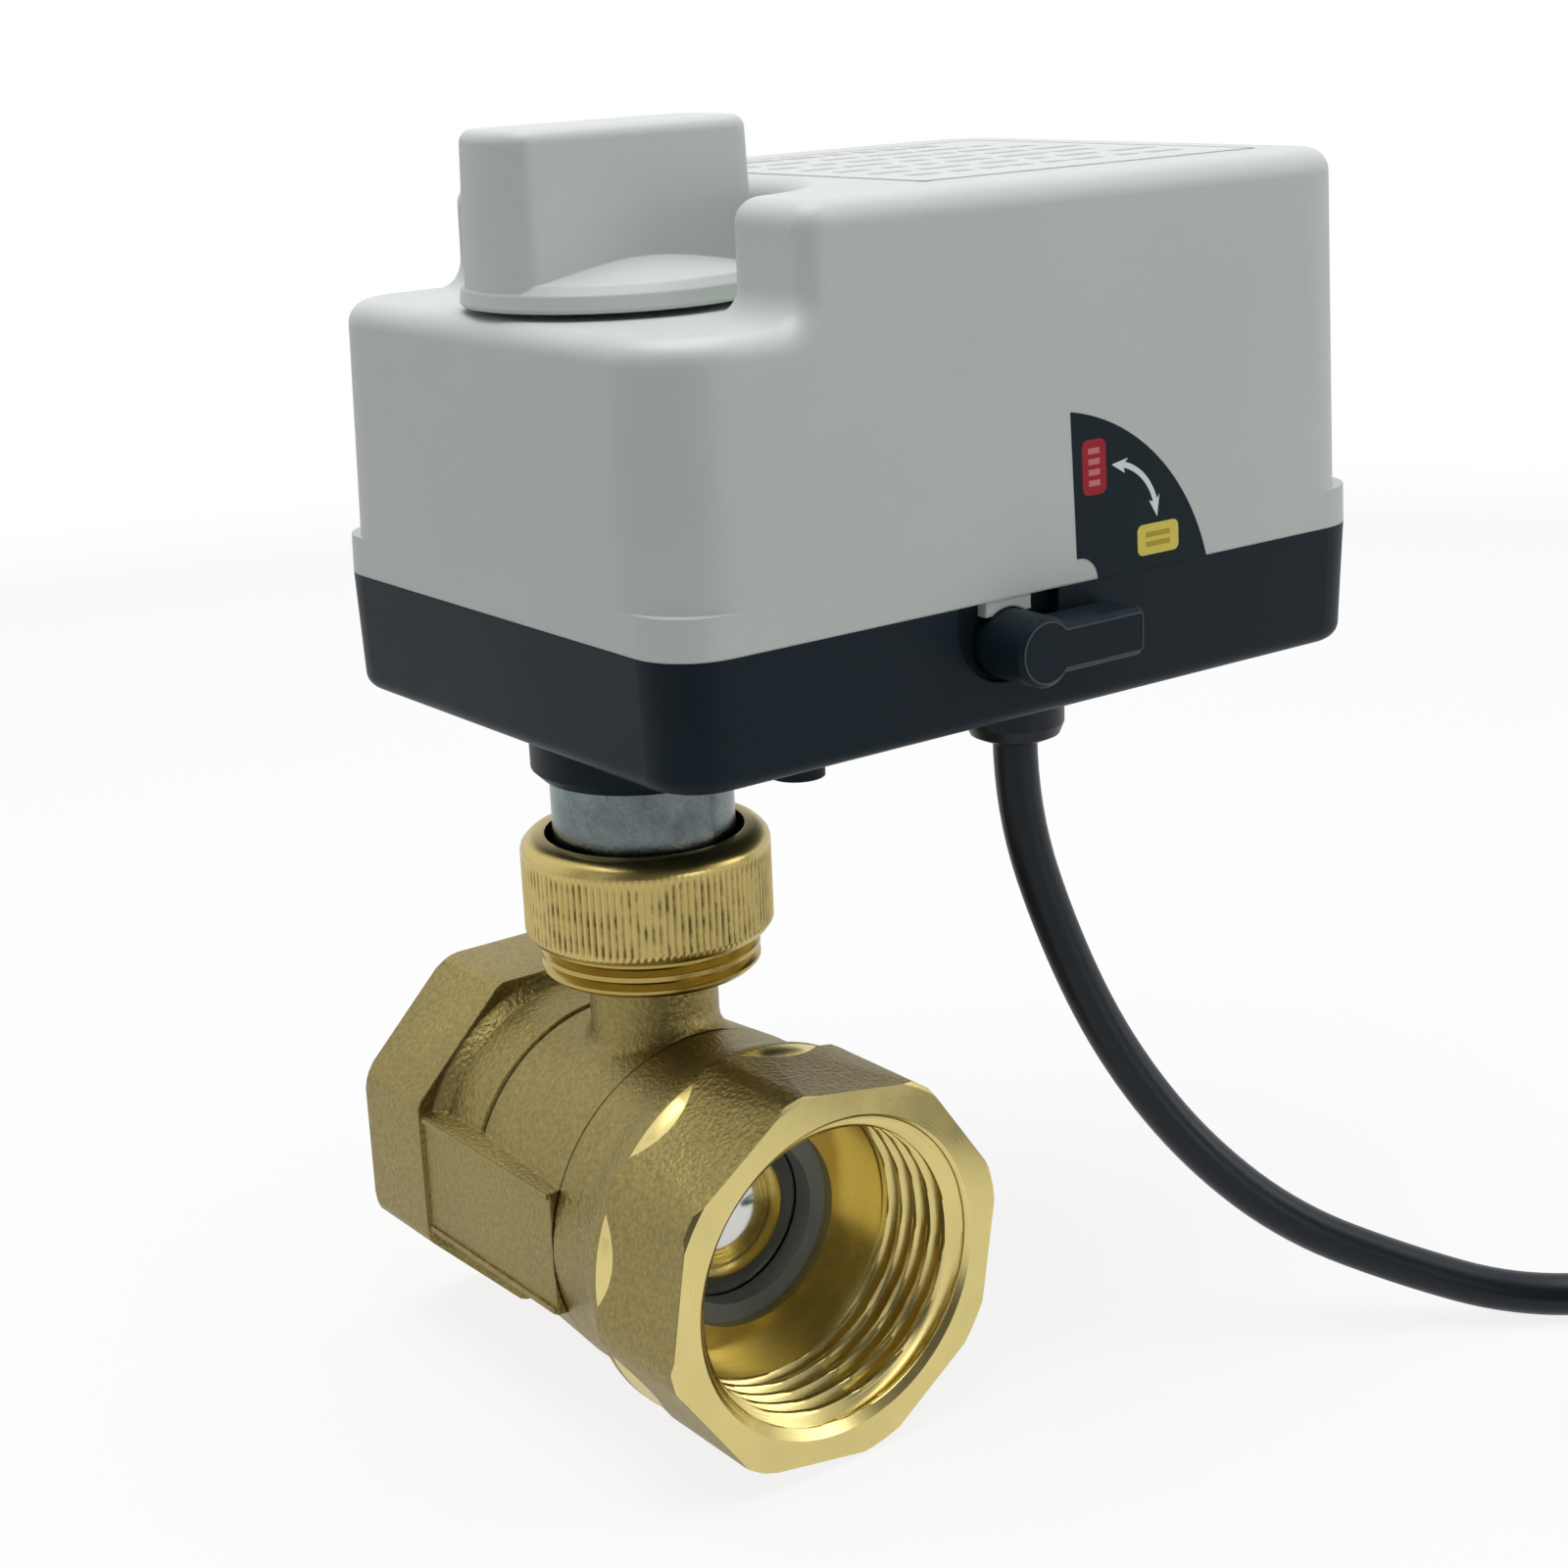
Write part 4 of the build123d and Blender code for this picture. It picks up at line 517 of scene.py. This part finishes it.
def face_kind(face, direction):
    """The finish of a face: as forged, turned at the port, or turned at the stem's head."""
    middle = face.calc_center_median() / MM
    off_stem = Vector((middle.x, middle.y - STEM_Y)).length
    if middle.z > HEAD_FROM and off_stem < HEAD_REACH:
        return HEAD_FACE
    radius = Vector((middle.x, middle.z)).length
    along = abs(middle.y - STEM_Y)
    at_neck = radius > THREAD_MINOR_R and along < NECK_REACH
    in_port = radius < MOUTH_R + RIM_SLACK and not at_neck
    on_rim = face.normal.y * direction > TURNED_SLOPE and along > PORT_FROM
    return TURNED_FACE if in_port or on_rim else FORGED


def brass_piece(name, node, direction):
    """A copy of a forged piece with its port's wall cut as a real thread."""
    form = bmesh.new()
    form.from_mesh(NODES[node].data)
    bmesh.ops.remove_doubles(form, verts=form.verts, dist=WELD)
    wall = [face for face in form.faces if all(in_bore(vert.co, direction) for vert in face.verts)]
    bmesh.ops.delete(form, geom=wall, context="FACES")
    form.from_mesh(tapped_bore(direction))
    rims = {True: [], False: []}
    for edge in form.edges:
        if edge.is_boundary:
            middle = (edge.verts[0].co.y + edge.verts[1].co.y) / 2
            rims[abs(depth_in_port(middle, direction)) < RIM_DEPTH].append(edge)
    for edges in rims.values():
        bmesh.ops.bridge_loops(form, edges=edges)
    bmesh.ops.recalc_face_normals(form, faces=form.faces)
    for face in form.faces:
        face.material_index = face_kind(face, direction)
    mesh = mesh_of(form, name)
    if "custom_normal" in mesh.attributes:
        mesh.attributes.remove(mesh.attributes["custom_normal"])
    for finish in ("forged_brass", "turned_brass", "stem_head_brass"):
        mesh.materials.append(FINISHES[finish])
    mesh.shade_smooth()
    mesh.set_sharp_from_angle(angle=CAST_SHARP)
    show(name, mesh, "forged_brass", "valve", node)


# Knurled union nut

NUT_R = 13.03
NUT_BORE_R = 11.42
NUT_HOLE_R = 10.4
NUT_BOTTOM = 29.2
NUT_WEB = 36.6
NUT_TOP = 40.0
NUT_CHAMFER = (0.5, 0.7)
NUT_ROUND = [(0.0, 1.6), (0.15, 1.1), (0.5, 0.65), (0.95, 0.25), (1.5, 0.0)]
NUT_STEP = 0.45
KNURLS = 108
KNURL_SEGMENTS = 8
KNURL_BAND = (29.7, 38.1)
KNURL_WIDTH = 0.8
KNURL_DEPTH = 0.17
KNURL_FADE = 0.5
NUT_SHARP = radians(42)


def union_nut():
    """The nut: a turned ring with straight knurls between its plain ends."""
    outer = [(NUT_R - NUT_CHAMFER[0], NUT_BOTTOM), (NUT_R, NUT_BOTTOM + NUT_CHAMFER[1])]
    outer += [(NUT_R - inward, NUT_TOP - down) for inward, down in NUT_ROUND]
    inner = [(NUT_HOLE_R, NUT_TOP), (NUT_HOLE_R, NUT_WEB)]
    inner += [(NUT_BORE_R, NUT_WEB), (NUT_BORE_R, NUT_BOTTOM)]
    blank = lathe("nut", spread(outer, NUT_STEP) + inner, KNURLS * KNURL_SEGMENTS)
    mesh = baked(blank, CUT_GROOVES, {
        "Grooves per Turn": float(KNURLS),
        "Grooves per Metre": 0.0,
        "Width": KNURL_WIDTH,
        "Depth": -KNURL_DEPTH * MM,
        "From": KNURL_BAND[0] * MM,
        "To": KNURL_BAND[1] * MM,
        "Fade": KNURL_FADE * MM,
        "Material": FINISHES["knurled_brass"],
    })
    mesh.transform(Matrix.Translation((0, STEM_Y * MM, 0)))
    mesh.set_sharp_from_angle(angle=NUT_SHARP)
    show("knurled_nut", mesh, "knurled_brass", "union_nut", "union_nut")


# Outlines and thin plates


def arc(centre, radius, start, end, steps):
    """Points along an arc, its angles in degrees."""
    angles = [radians(start + (end - start) * index / steps) for index in range(steps + 1)]
    return [(centre[0] + radius * cos(a), centre[1] + radius * sin(a)) for a in angles]


def rectangle(low, high):
    """The outline of a rectangle between two corners."""
    return [low, (high[0], low[1]), high, (low[0], high[1])]


def rounded(low, high, radius):
    """The outline of a rectangle with round corners."""
    centres = rectangle((low[0] + radius, low[1] + radius), (high[0] - radius, high[1] - radius))
    points = []
    for quarter, corner in enumerate((2, 3, 0, 1)):
        points += arc(centres[corner], radius, 90 * quarter, 90 * quarter + 90, 6)
    return points


def on_front(x, z, lift):
    """A point of the cover's near side, which leans in with the draft."""
    lean = (z - PARTING) * tan(COVER_DRAFT)
    return place(x, -BOX_Y + lean - lift * cos(COVER_DRAFT), z - lift * sin(COVER_DRAFT))


def on_roof(x, y, lift):
    """A point of the cover's roof."""
    return place(x, y, ROOF + lift)


def on_pad(y, z, lift):
    """A point of the flat pad on the body's side."""
    return place(PAD_X - lift, y, z)


def plates(name, outlines, surface, bottom, top, material, slot):
    """Thin plates with these outlines, laid on a surface between two heights over it."""
    form = bmesh.new()
    for outline in outlines:
        low = [form.verts.new(surface(*point, bottom)) for point in outline]
        high = [form.verts.new(surface(*point, top)) for point in outline]
        form.faces.new(high)
        form.faces.new(low[::-1])
        fill_between(form, [low, high])
    bmesh.ops.recalc_face_normals(form, faces=form.faces)
    mesh = mesh_of(form, name)
    mesh.materials.append(material)
    show(name, mesh, slot, "valve")


# Printed label on the cover's near side

LABEL_CENTRE = (26.86, 59.67)
LABEL_R = 22.9
LABEL_SWEEP = (14.5, 79.6)
LABEL_CORNER = [(31.15, 75.0), (31.3, 67.75)]
LABEL_NOTCH = ((31.65, 65.4), 2.35)
RED_PATCH = ((32.3, 73.75), (35.45, 79.2), 0.8)
RED_BARS = ((33.1, 74.4), (34.6, 78.6))
YELLOW_PATCH = ((39.45, 66.7), (45.1, 69.8), 0.7)
YELLOW_BARS = ((40.6, 67.3), (43.9, 69.2))
BAR_SHARE = 0.55
ARROW_CENTRE = (36.2, 70.4)
ARROW_R = 6.0
ARROW_HALF = 0.29
ARROW_HEAD = 1.7
BARB_HALF = 2.6 * ARROW_HALF
BARB_BACK = 3
FILM = (0.005, 0.05)
PRINT = (0.05, 0.075)
OVERPRINT = (0.075, 0.09)


def bars(low, high, count):
    """Plain bars stacked between two corners, in place of lines of words."""
    pitch = (high[1] - low[1]) / count
    bottoms = [low[1] + pitch * (index + (1 - BAR_SHARE) / 2) for index in range(count)]
    return [rectangle((low[0], z), (high[0], z + pitch * BAR_SHARE)) for z in bottoms]


def arrow():
    """A quarter-circle arrow with a point at each end."""
    def at(radius, angle):
        return arc(ARROW_CENTRE, radius, angle, angle, 1)[0]

    start = degrees(ARROW_HEAD / ARROW_R)
    end = 90 - start
    wide, narrow = ARROW_R + BARB_HALF, ARROW_R - BARB_HALF
    outer = arc(ARROW_CENTRE, ARROW_R + ARROW_HALF, start, end, 20)
    inner = arc(ARROW_CENTRE, ARROW_R - ARROW_HALF, end, start, 20)
    last = [at(wide, end - BARB_BACK), at(ARROW_R, 90), at(narrow, end - BARB_BACK)]
    first = [at(narrow, start + BARB_BACK), at(ARROW_R, 0), at(wide, start + BARB_BACK)]
    return outer + last + inner + first


def side_label():
    """The label beside the lever: two patches of bars and the arrow that joins them."""
    film = arc(LABEL_CENTRE, LABEL_R, *LABEL_SWEEP, 30) + LABEL_CORNER
    film += arc(*LABEL_NOTCH, 90, 0, 8)
    for name, outlines, heights, ink, colour in (
        ("side_label", [film], FILM, "label_black", (0.012, 0.022, 0.029)),
        ("red_patch", [rounded(*RED_PATCH)], PRINT, "label_red", (0.40, 0.030, 0.040)),
        ("yellow_patch", [rounded(*YELLOW_PATCH)], PRINT, "label_yellow", (0.78, 0.66, 0.13)),
        ("red_bars", bars(*RED_BARS, 4), OVERPRINT, "label_pink", (0.66, 0.22, 0.22)),
        ("yellow_bars", bars(*YELLOW_BARS, 2), OVERPRINT, "label_ochre", (0.50, 0.38, 0.06)),
        ("turn_arrow", [arrow()], PRINT, "label_white", (0.80, 0.88, 0.88)),
    ):
        plates(name, outlines, on_front, *heights, print_finish(ink, colour), "black_plastic")


# Printed sticker on the roof

STICKER = ((21.0, -22.5), (66.0, 22.5))
STICKER_CORNER_R = 1.2
STICKER_LINE = 0.35
STICKER_FILM = (0.005, 0.06)
STICKER_INK = (0.06, 0.08)
ROWS = 7
FIRST_ROW = 5.0
ROW_PITCH = 5.6
ROW_MARGIN = 4.0
TITLE_TALL = 2.6
ROW_TALL = 1.5
WORDS = (2.0, 6.5)
SPACES = (1.0, 2.6)


def sticker_print():
    """The print of the roof sticker: its border and rows of plain bars in place of words."""
    low, high = STICKER
    line = STICKER_LINE
    shapes = [rectangle(low, (high[0], low[1] + line)), rectangle((low[0], high[1] - line), high)]
    for x in (low[0], high[0] - line):
        shapes.append(rectangle((x, low[1] + line), (x + line, high[1] - line)))
    draw = Random(7)
    for row in range(ROWS):
        y = high[1] - FIRST_ROW - row * ROW_PITCH
        x = low[0] + ROW_MARGIN
        while x < high[0] - 2 * ROW_MARGIN:
            long = draw.uniform(*WORDS)
            shapes.append(rectangle((x, y), (x + long, y + (ROW_TALL if row else TITLE_TALL))))
            x += long + draw.uniform(*SPACES)
    return shapes


def roof_sticker():
    """The silvery sticker on the roof and its print."""
    silver = print_finish("label_silver", (0.62, 0.65, 0.62), 0.3)
    grey = print_finish("label_grey", (0.40, 0.42, 0.41))
    film = rounded(*STICKER, STICKER_CORNER_R)
    plates("roof_sticker", [film], on_roof, *STICKER_FILM, silver, "grey_plastic")
    plates("roof_print", sticker_print(), on_roof, *STICKER_INK, grey, "grey_plastic")


# Raised edges of the pad on the body

PAD_X = -18.9
PAD_EDGE = (6.15, 6.7)
PAD_ENDS = (-7.2, 18.3)
PAD_RIDGE = (-0.15, 0.25)


def pad_edges():
    """The thin ridge along each long edge of the pad."""
    outlines = []
    for side in (-1, 1):
        inner, outer = (side * z for z in PAD_EDGE)
        outlines.append(rectangle((PAD_ENDS[0], inner), (PAD_ENDS[1], outer)))
    brass = FINISHES["forged_brass"]
    plates("pad_edges", outlines, on_pad, *PAD_RIDGE, brass, "forged_brass")


# Painted highlight round the manual lever's front face

LEVER_X = 22.35
LEVER_Z = 60.9
LEVER_FRONT = 37.7
LEVER_HUB_R = 3.5
LEVER_ARM_HALF = 2.4
LEVER_TIP = 12.9
LEVER_TIP_R = 1.0
HIGHLIGHT_INSETS = (0.42, 0.60)
HIGHLIGHT_LIFTS = (-0.05, 0.07)


def lever_outline(inset):
    """The outline of the lever's front face, set in by a distance."""
    hub = LEVER_HUB_R - inset
    corner = LEVER_TIP_R - inset
    opening = degrees(asin((LEVER_ARM_HALF - inset) / hub))
    along = LEVER_TIP - LEVER_TIP_R
    up = LEVER_ARM_HALF - LEVER_TIP_R
    points = arc((0.0, 0.0), hub, opening, 360 - opening, 48)
    return points + arc((along, -up), corner, -90, 0, 6) + arc((along, up), corner, 0, 90, 6)


def lever_rim():
    """A fine raised strip round the lever's front face, coloured lighter than the lever: a painted
    highlight along the face's edge.
    """
    form = bmesh.new()
    loops = []
    for inset, lift in ((0, 0), (1, 0), (1, 1), (0, 1)):
        y = -LEVER_FRONT - HIGHLIGHT_LIFTS[lift]
        outline = lever_outline(HIGHLIGHT_INSETS[inset])
        loops.append([form.verts.new(place(LEVER_X + x, y, LEVER_Z + z)) for x, z in outline])
    fill_between(form, loops + loops[:1])
    bmesh.ops.recalc_face_normals(form, faces=form.faces)
    mesh = mesh_of(form, "lever_rim")
    # The strip's lighter grey is a painted highlight along the edge of the lever's front face.
    mesh.materials.append(print_finish("lever_rim", (0.07, 0.09, 0.10)))
    show("lever_rim", mesh, "black_plastic", "manual_lever")


# Screws under the base

COVER_SCREWS = [(-11.0, -26.0), (-11.0, 26.0), (67.8, -26.5), (67.8, 26.5)]
SCREW_R = 1.5
SCREW_HEAD_R = 2.8
SCREW_HEAD = 2.4
SCREW_CROWN = [(0.6, 0.0), (0.9, 0.25), (1.0, 0.8)]
SCREW_POINT = (0.4, 1.0)
SCREW_SEGMENTS = 40
SCREW_SHARP = radians(30)
AXIS_R = 0.001
RECESS_HALF = (0.45, 1.6)
RECESS_DEPTH = 1.5


def screw_mesh(head_z, tip_z):
    """A pan-head screw with a cross recess, its head down, with its axis on the z axis."""
    top = head_z + SCREW_HEAD
    outline = [(AXIS_R, head_z)]
    outline += [(SCREW_HEAD_R * share, head_z + down) for share, down in SCREW_CROWN]
    outline += [(SCREW_HEAD_R, top), (SCREW_R, top), (SCREW_R, tip_z - SCREW_POINT[1])]
    outline += [(SCREW_R * SCREW_POINT[0], tip_z), (AXIS_R, tip_z)]
    recess = bmesh.new()
    for half_x, half_y in (RECESS_HALF, RECESS_HALF[::-1]):
        scale = Vector((half_x, half_y, RECESS_DEPTH)) * MM
        at = Matrix.LocRotScale(Vector((0, 0, head_z)) * MM, None, scale)
        bmesh.ops.create_cube(recess, size=2.0, matrix=at)
    body = linked("screw", lathe("screw", outline, SCREW_SEGMENTS))
    cutter = linked("recess", mesh_of(recess, "recess"))
    boolean = body.modifiers.new("recess", "BOOLEAN")
    boolean.object = cutter
    boolean.solver = "EXACT"
    boolean.use_self = True
    graph = bpy.context.evaluated_depsgraph_get()
    result = bpy.data.meshes.new_from_object(body.evaluated_get(graph))
    for obj in (body, cutter):
        bpy.data.objects.remove(obj)
    return result


def cover_screws():
    """The four cover screws, with their cross recesses."""
    low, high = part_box("cover_screws")
    part = bpy.data.objects.new("one_screw", screw_mesh(low[2] / MM, high[2] / MM))
    points = bpy.data.meshes.new("screw_points")
    points.from_pydata([place(x, y, 0.0) for x, y in COVER_SCREWS], [], [])
    mesh = baked(points, screw_group(part), {"Seed": 3, "Material": FINISHES["zinc_steel"]})
    mesh.set_sharp_from_angle(angle=SCREW_SHARP)
    bpy.data.objects.remove(part)
    show("recessed_screws", mesh, "zinc_steel", "valve", "cover_screws")


# Camera

VIEWPOINT = Vector((-142.505, -188.771, 122.502)) * MM
AHEAD = Vector((0.5594, 0.7773, -0.2878)).normalized()
RIGHT = Vector((0.8032, -0.5941, -0.0435))
FOCAL_PIXELS = 2697.93
PHOTO_PIXELS = 1600
OPTICAL_X = 779.3
SENSOR = 36.0
CLIP_START = 0.01


def set_camera():
    """The camera of the photograph's view, with its small turn about its own axis."""
    right = (RIGHT - AHEAD * RIGHT.dot(AHEAD)).normalized()
    up = right.cross(AHEAD)
    turn = Matrix((right, up, -AHEAD)).transposed().to_4x4()
    lens = bpy.data.cameras.new("camera")
    lens.sensor_width = SENSOR
    lens.lens = FOCAL_PIXELS * SENSOR / PHOTO_PIXELS
    lens.shift_x = (PHOTO_PIXELS / 2 - OPTICAL_X) / PHOTO_PIXELS
    lens.clip_start = CLIP_START
    camera = linked("camera", lens)
    camera.matrix_world = Matrix.Translation(VIEWPOINT) @ turn
    bpy.context.scene.camera = camera


# Light and floor, in metres and watts

ROOM_STRENGTH = 0.3
ROOM_BLUE = 1.03
MIRRORED_ROOM = (0.1, 0.95)
MIRRORED_ROOM_SWEEP = (-0.75, -0.1)
LAMP_AIM = Vector((0.01, 0.03, 0.05))
LAMPS = {
    "overhead": {"at": (-0.02, 0.05, 0.75), "size": (0.7, 0.7), "power": 5.3},
    "right": {"at": (0.62, -0.42, 0.40), "size": (0.30, 0.6), "power": 1.1},
    "left": {"at": (-0.65, -0.10, 0.28), "size": (0.25, 0.6), "power": 0.25},
    "front": {"at": (0.12, -0.80, 0.10), "size": (0.35, 0.25), "power": 0.6},
}
WHITE = (1, 1, 1, 1)
FLOOR_HALF = 200.0
FLOOR_GAP = 0.00005
FLOOR_LIT = 0.60
FLOOR_SEEN = 0.93
BACKGROUND_SHARE = 0.85
MIRRORED_FLOOR = (0.12, 0.7)
MIRRORED_FLOOR_SWEEP = (-0.25, 0.02)
FADE_TO_WHITE = (0.15, 0.60)


def room_light(tree, height, ahead):
    """The light of a pale room: bright overhead and behind the object, dim behind the camera."""
    upper = remap(tree, height, low=0.42, high=0.85, from_low=-0.1, from_high=0.8, smooth=True)
    dim = remap(tree, ahead, low=0.3, high=1.0, from_low=-1.0, from_high=-0.55, smooth=True)
    far = remap(tree, ahead, low=0.0, high=1.0, from_low=0.1, from_high=0.8, smooth=True)
    under = remap(tree, height, low=1.0, high=0.0, from_low=0.05, from_high=0.5, smooth=True)
    walls = combine(tree, "MULTIPLY", upper, dim)
    backdrop = combine(tree, "MULTIPLY", far, under)
    level = combine(tree, "MAXIMUM", walls, backdrop)
    inputs = {0: level, 1: level, 2: combine(tree, "MULTIPLY", level, ROOM_BLUE)}
    tint = add_node(tree, "ShaderNodeCombineColor", inputs).outputs[0]
    inputs = {"Color": tint, "Strength": ROOM_STRENGTH}
    return add_node(tree, "ShaderNodeBackground", inputs).outputs[0]


def set_room():
    """The room that lights the object, and the white that the camera, glass and metal see.

    What metal mirrors of that white dims towards the camera's side.
    """
    world = bpy.data.worlds.new("room")
    bpy.context.scene.world = world
    world.use_nodes = True
    tree = world.node_tree
    tree.nodes.clear()
    where = add_node(tree, "ShaderNodeTexCoord").outputs["Generated"]
    height = split(tree, where)["Z"]
    ahead = combine_vectors(tree, "DOT_PRODUCT", "Value", {0: where, 1: tuple(AHEAD)})
    room = room_light(tree, height, ahead)
    path = add_node(tree, "ShaderNodeLightPath").outputs
    direct = combine(tree, "MAXIMUM", path["Is Camera Ray"], path["Is Transmission Ray"])
    dimming = remap(tree, ahead, *MIRRORED_ROOM, *MIRRORED_ROOM_SWEEP, smooth=True)
    mirrored = combine(tree, "MULTIPLY", dimming, path["Is Glossy Ray"])
    strength = combine(tree, "MAXIMUM", direct, mirrored)
    inputs = {"Color": WHITE, "Strength": strength}
    white = add_node(tree, "ShaderNodeBackground", inputs).outputs[0]
    seen = combine(tree, "MAXIMUM", direct, path["Is Glossy Ray"])
    add_node(tree, "ShaderNodeOutputWorld", {"Surface": mix_shaders(tree, seen, room, white)})


def set_lamps():
    """Soft rectangular lamps: a large one overhead, one on each side and a small one in front."""
    for name, lamp in LAMPS.items():
        light = bpy.data.lights.new(name, "AREA")
        light.shape = "RECTANGLE"
        light.size, light.size_y = lamp["size"]
        light.energy = lamp["power"]
        obj = linked(name, light)
        obj.location = lamp["at"]
        obj.rotation_euler = (LAMP_AIM - Vector(lamp["at"])).to_track_quat("-Z", "Y").to_euler()


def floor_paint():
    """The floor's pale paint, which turns into the white background away from the object."""
    paint, tree, matt, where = new_surface("floor")
    apart = combine_vectors(tree, "LENGTH", "Value", {0: where})
    path = add_node(tree, "ShaderNodeLightPath").outputs
    camera = path["Is Camera Ray"]
    pale = remap(tree, camera, FLOOR_LIT, FLOOR_SEEN)
    colour = add_node(tree, "ShaderNodeCombineColor", {0: pale, 1: pale, 2: pale}).outputs[0]
    feed(tree, matt, {"Base Color": colour, "Roughness": 0.9, "Specular IOR Level": 0.1})
    bounced = combine(tree, "MAXIMUM", path["Is Glossy Ray"], path["Is Transmission Ray"])
    inputs = {0: where, 1: (AHEAD.x, AHEAD.y, 0.0)}
    behind = combine_vectors(tree, "DOT_PRODUCT", "Value", inputs)
    dimming = remap(tree, behind, *MIRRORED_FLOOR, *MIRRORED_FLOOR_SWEEP, smooth=True)
    mirrored = combine(tree, "MULTIPLY", dimming, bounced)
    near = combine(tree, "MULTIPLY", camera, BACKGROUND_SHARE)
    fading = remap(tree, apart, 0.0, 1.0, *FADE_TO_WHITE, smooth=True)
    away = combine(tree, "MULTIPLY", fading, camera)
    share = combine(tree, "MAXIMUM", combine(tree, "MAXIMUM", near, mirrored), away)
    inputs = {"Color": WHITE, "Strength": 1.0}
    white = add_node(tree, "ShaderNodeEmission", inputs).outputs[0]
    both = mix_shaders(tree, share, matt.outputs[0], white)
    feed(tree, tree.nodes["Material Output"], {"Surface": both})
    return paint


def set_floor():
    """A plain pale floor under the pipe, which keeps the object's shadow."""
    form = bmesh.new()
    bmesh.ops.create_grid(form, x_segments=1, y_segments=1, size=FLOOR_HALF)
    mesh = mesh_of(form, "floor")
    mesh.transform(Matrix.Translation((0, 0, CAD_BOX[0][2] - FLOOR_GAP)))
    mesh.materials.append(floor_paint())
    obj = linked("floor", mesh)


# Free cable and its coil

CABLE_ROUTE = [
    (31.0, -22.9, 48.0),
    (31.0, -22.9, 40.0),
    (34.5, -25.5, 25.5),
    (39.2, -29.0, 12.6),
    (45.9, -33.9, 1.0),
    (54.3, -40.1, -8.2),
    (64.4, -47.6, -13.9),
    (74.0, -54.7, CABLE_Z),
    (84.0, -62.7, CABLE_Z),
    (93.2, -70.8, CABLE_Z),
]
COIL_OUTER_R = 27.2
COIL_PITCH = 5.3
HALF_TURNS = 4
COIL_END_R = 15.0
STEPS_PER_HALF = 8


def coil_points():
    """The turns of the coil: half circles, each half a pitch smaller, then a quarter inwards."""
    position = Vector(CABLE_ROUTE[-1])
    heading = (position - Vector(CABLE_ROUTE[-2])).normalized()
    position += heading * 2 * CABLE_R
    turns = [
        (COIL_OUTER_R - half * COIL_PITCH / 2, pi, STEPS_PER_HALF) for half in range(HALF_TURNS)
    ]
    turns.append((COIL_END_R, pi / 2, STEPS_PER_HALF // 2))
    points = []
    for radius, sweep, steps in turns:
        step = sweep / steps
        reach = radius / cos(step / 2)
        centre = position + heading.cross(Vector((0, 0, 1))) * radius
        spoke = position - centre
        for index in range(steps):
            turned = Matrix.Rotation(-step * (index + 0.5), 3, "Z") @ spoke
            points.append(centre + turned.normalized() * reach)
        turn = Matrix.Rotation(-sweep, 3, "Z")
        position = centre + turn @ spoke
        heading = turn @ heading
    return points + [position + heading * 2 * CABLE_R]


def supply_cable():
    """The cable as one round tube along one smooth spline, from the gland to its cut end."""
    curve = bpy.data.curves.new("supply_cable", "CURVE")
    curve.dimensions = "3D"
    points = [place(*point) for point in CABLE_ROUTE + coil_points()]
    spline = curve.splines.new("NURBS")
    spline.points.add(len(points) - 1)
    for target, point in zip(spline.points, points):
        target.co = (*point, 1)
    spline.order_u = 3
    spline.use_endpoint_u = True
    spline.resolution_u = 8
    curve.bevel_depth = CABLE_R * MM
    curve.bevel_resolution = 6
    curve.use_fill_caps = True
    curve.materials.append(FINISHES["black_rubber"])
    cable = linked("supply_cable", curve)
    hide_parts("power_cable", "cable_coil")
    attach(cable, "valve")


dress_nodes()
brass_piece("threaded_body", "valve_body", 1)
brass_piece("threaded_cap", "end_cap", -1)
union_nut()
side_label()
roof_sticker()
pad_edges()
lever_rim()
cover_screws()
bpy.context.scene.view_settings.view_transform = "Standard"
set_camera()
set_room()
set_lamps()
set_floor()
supply_cable()
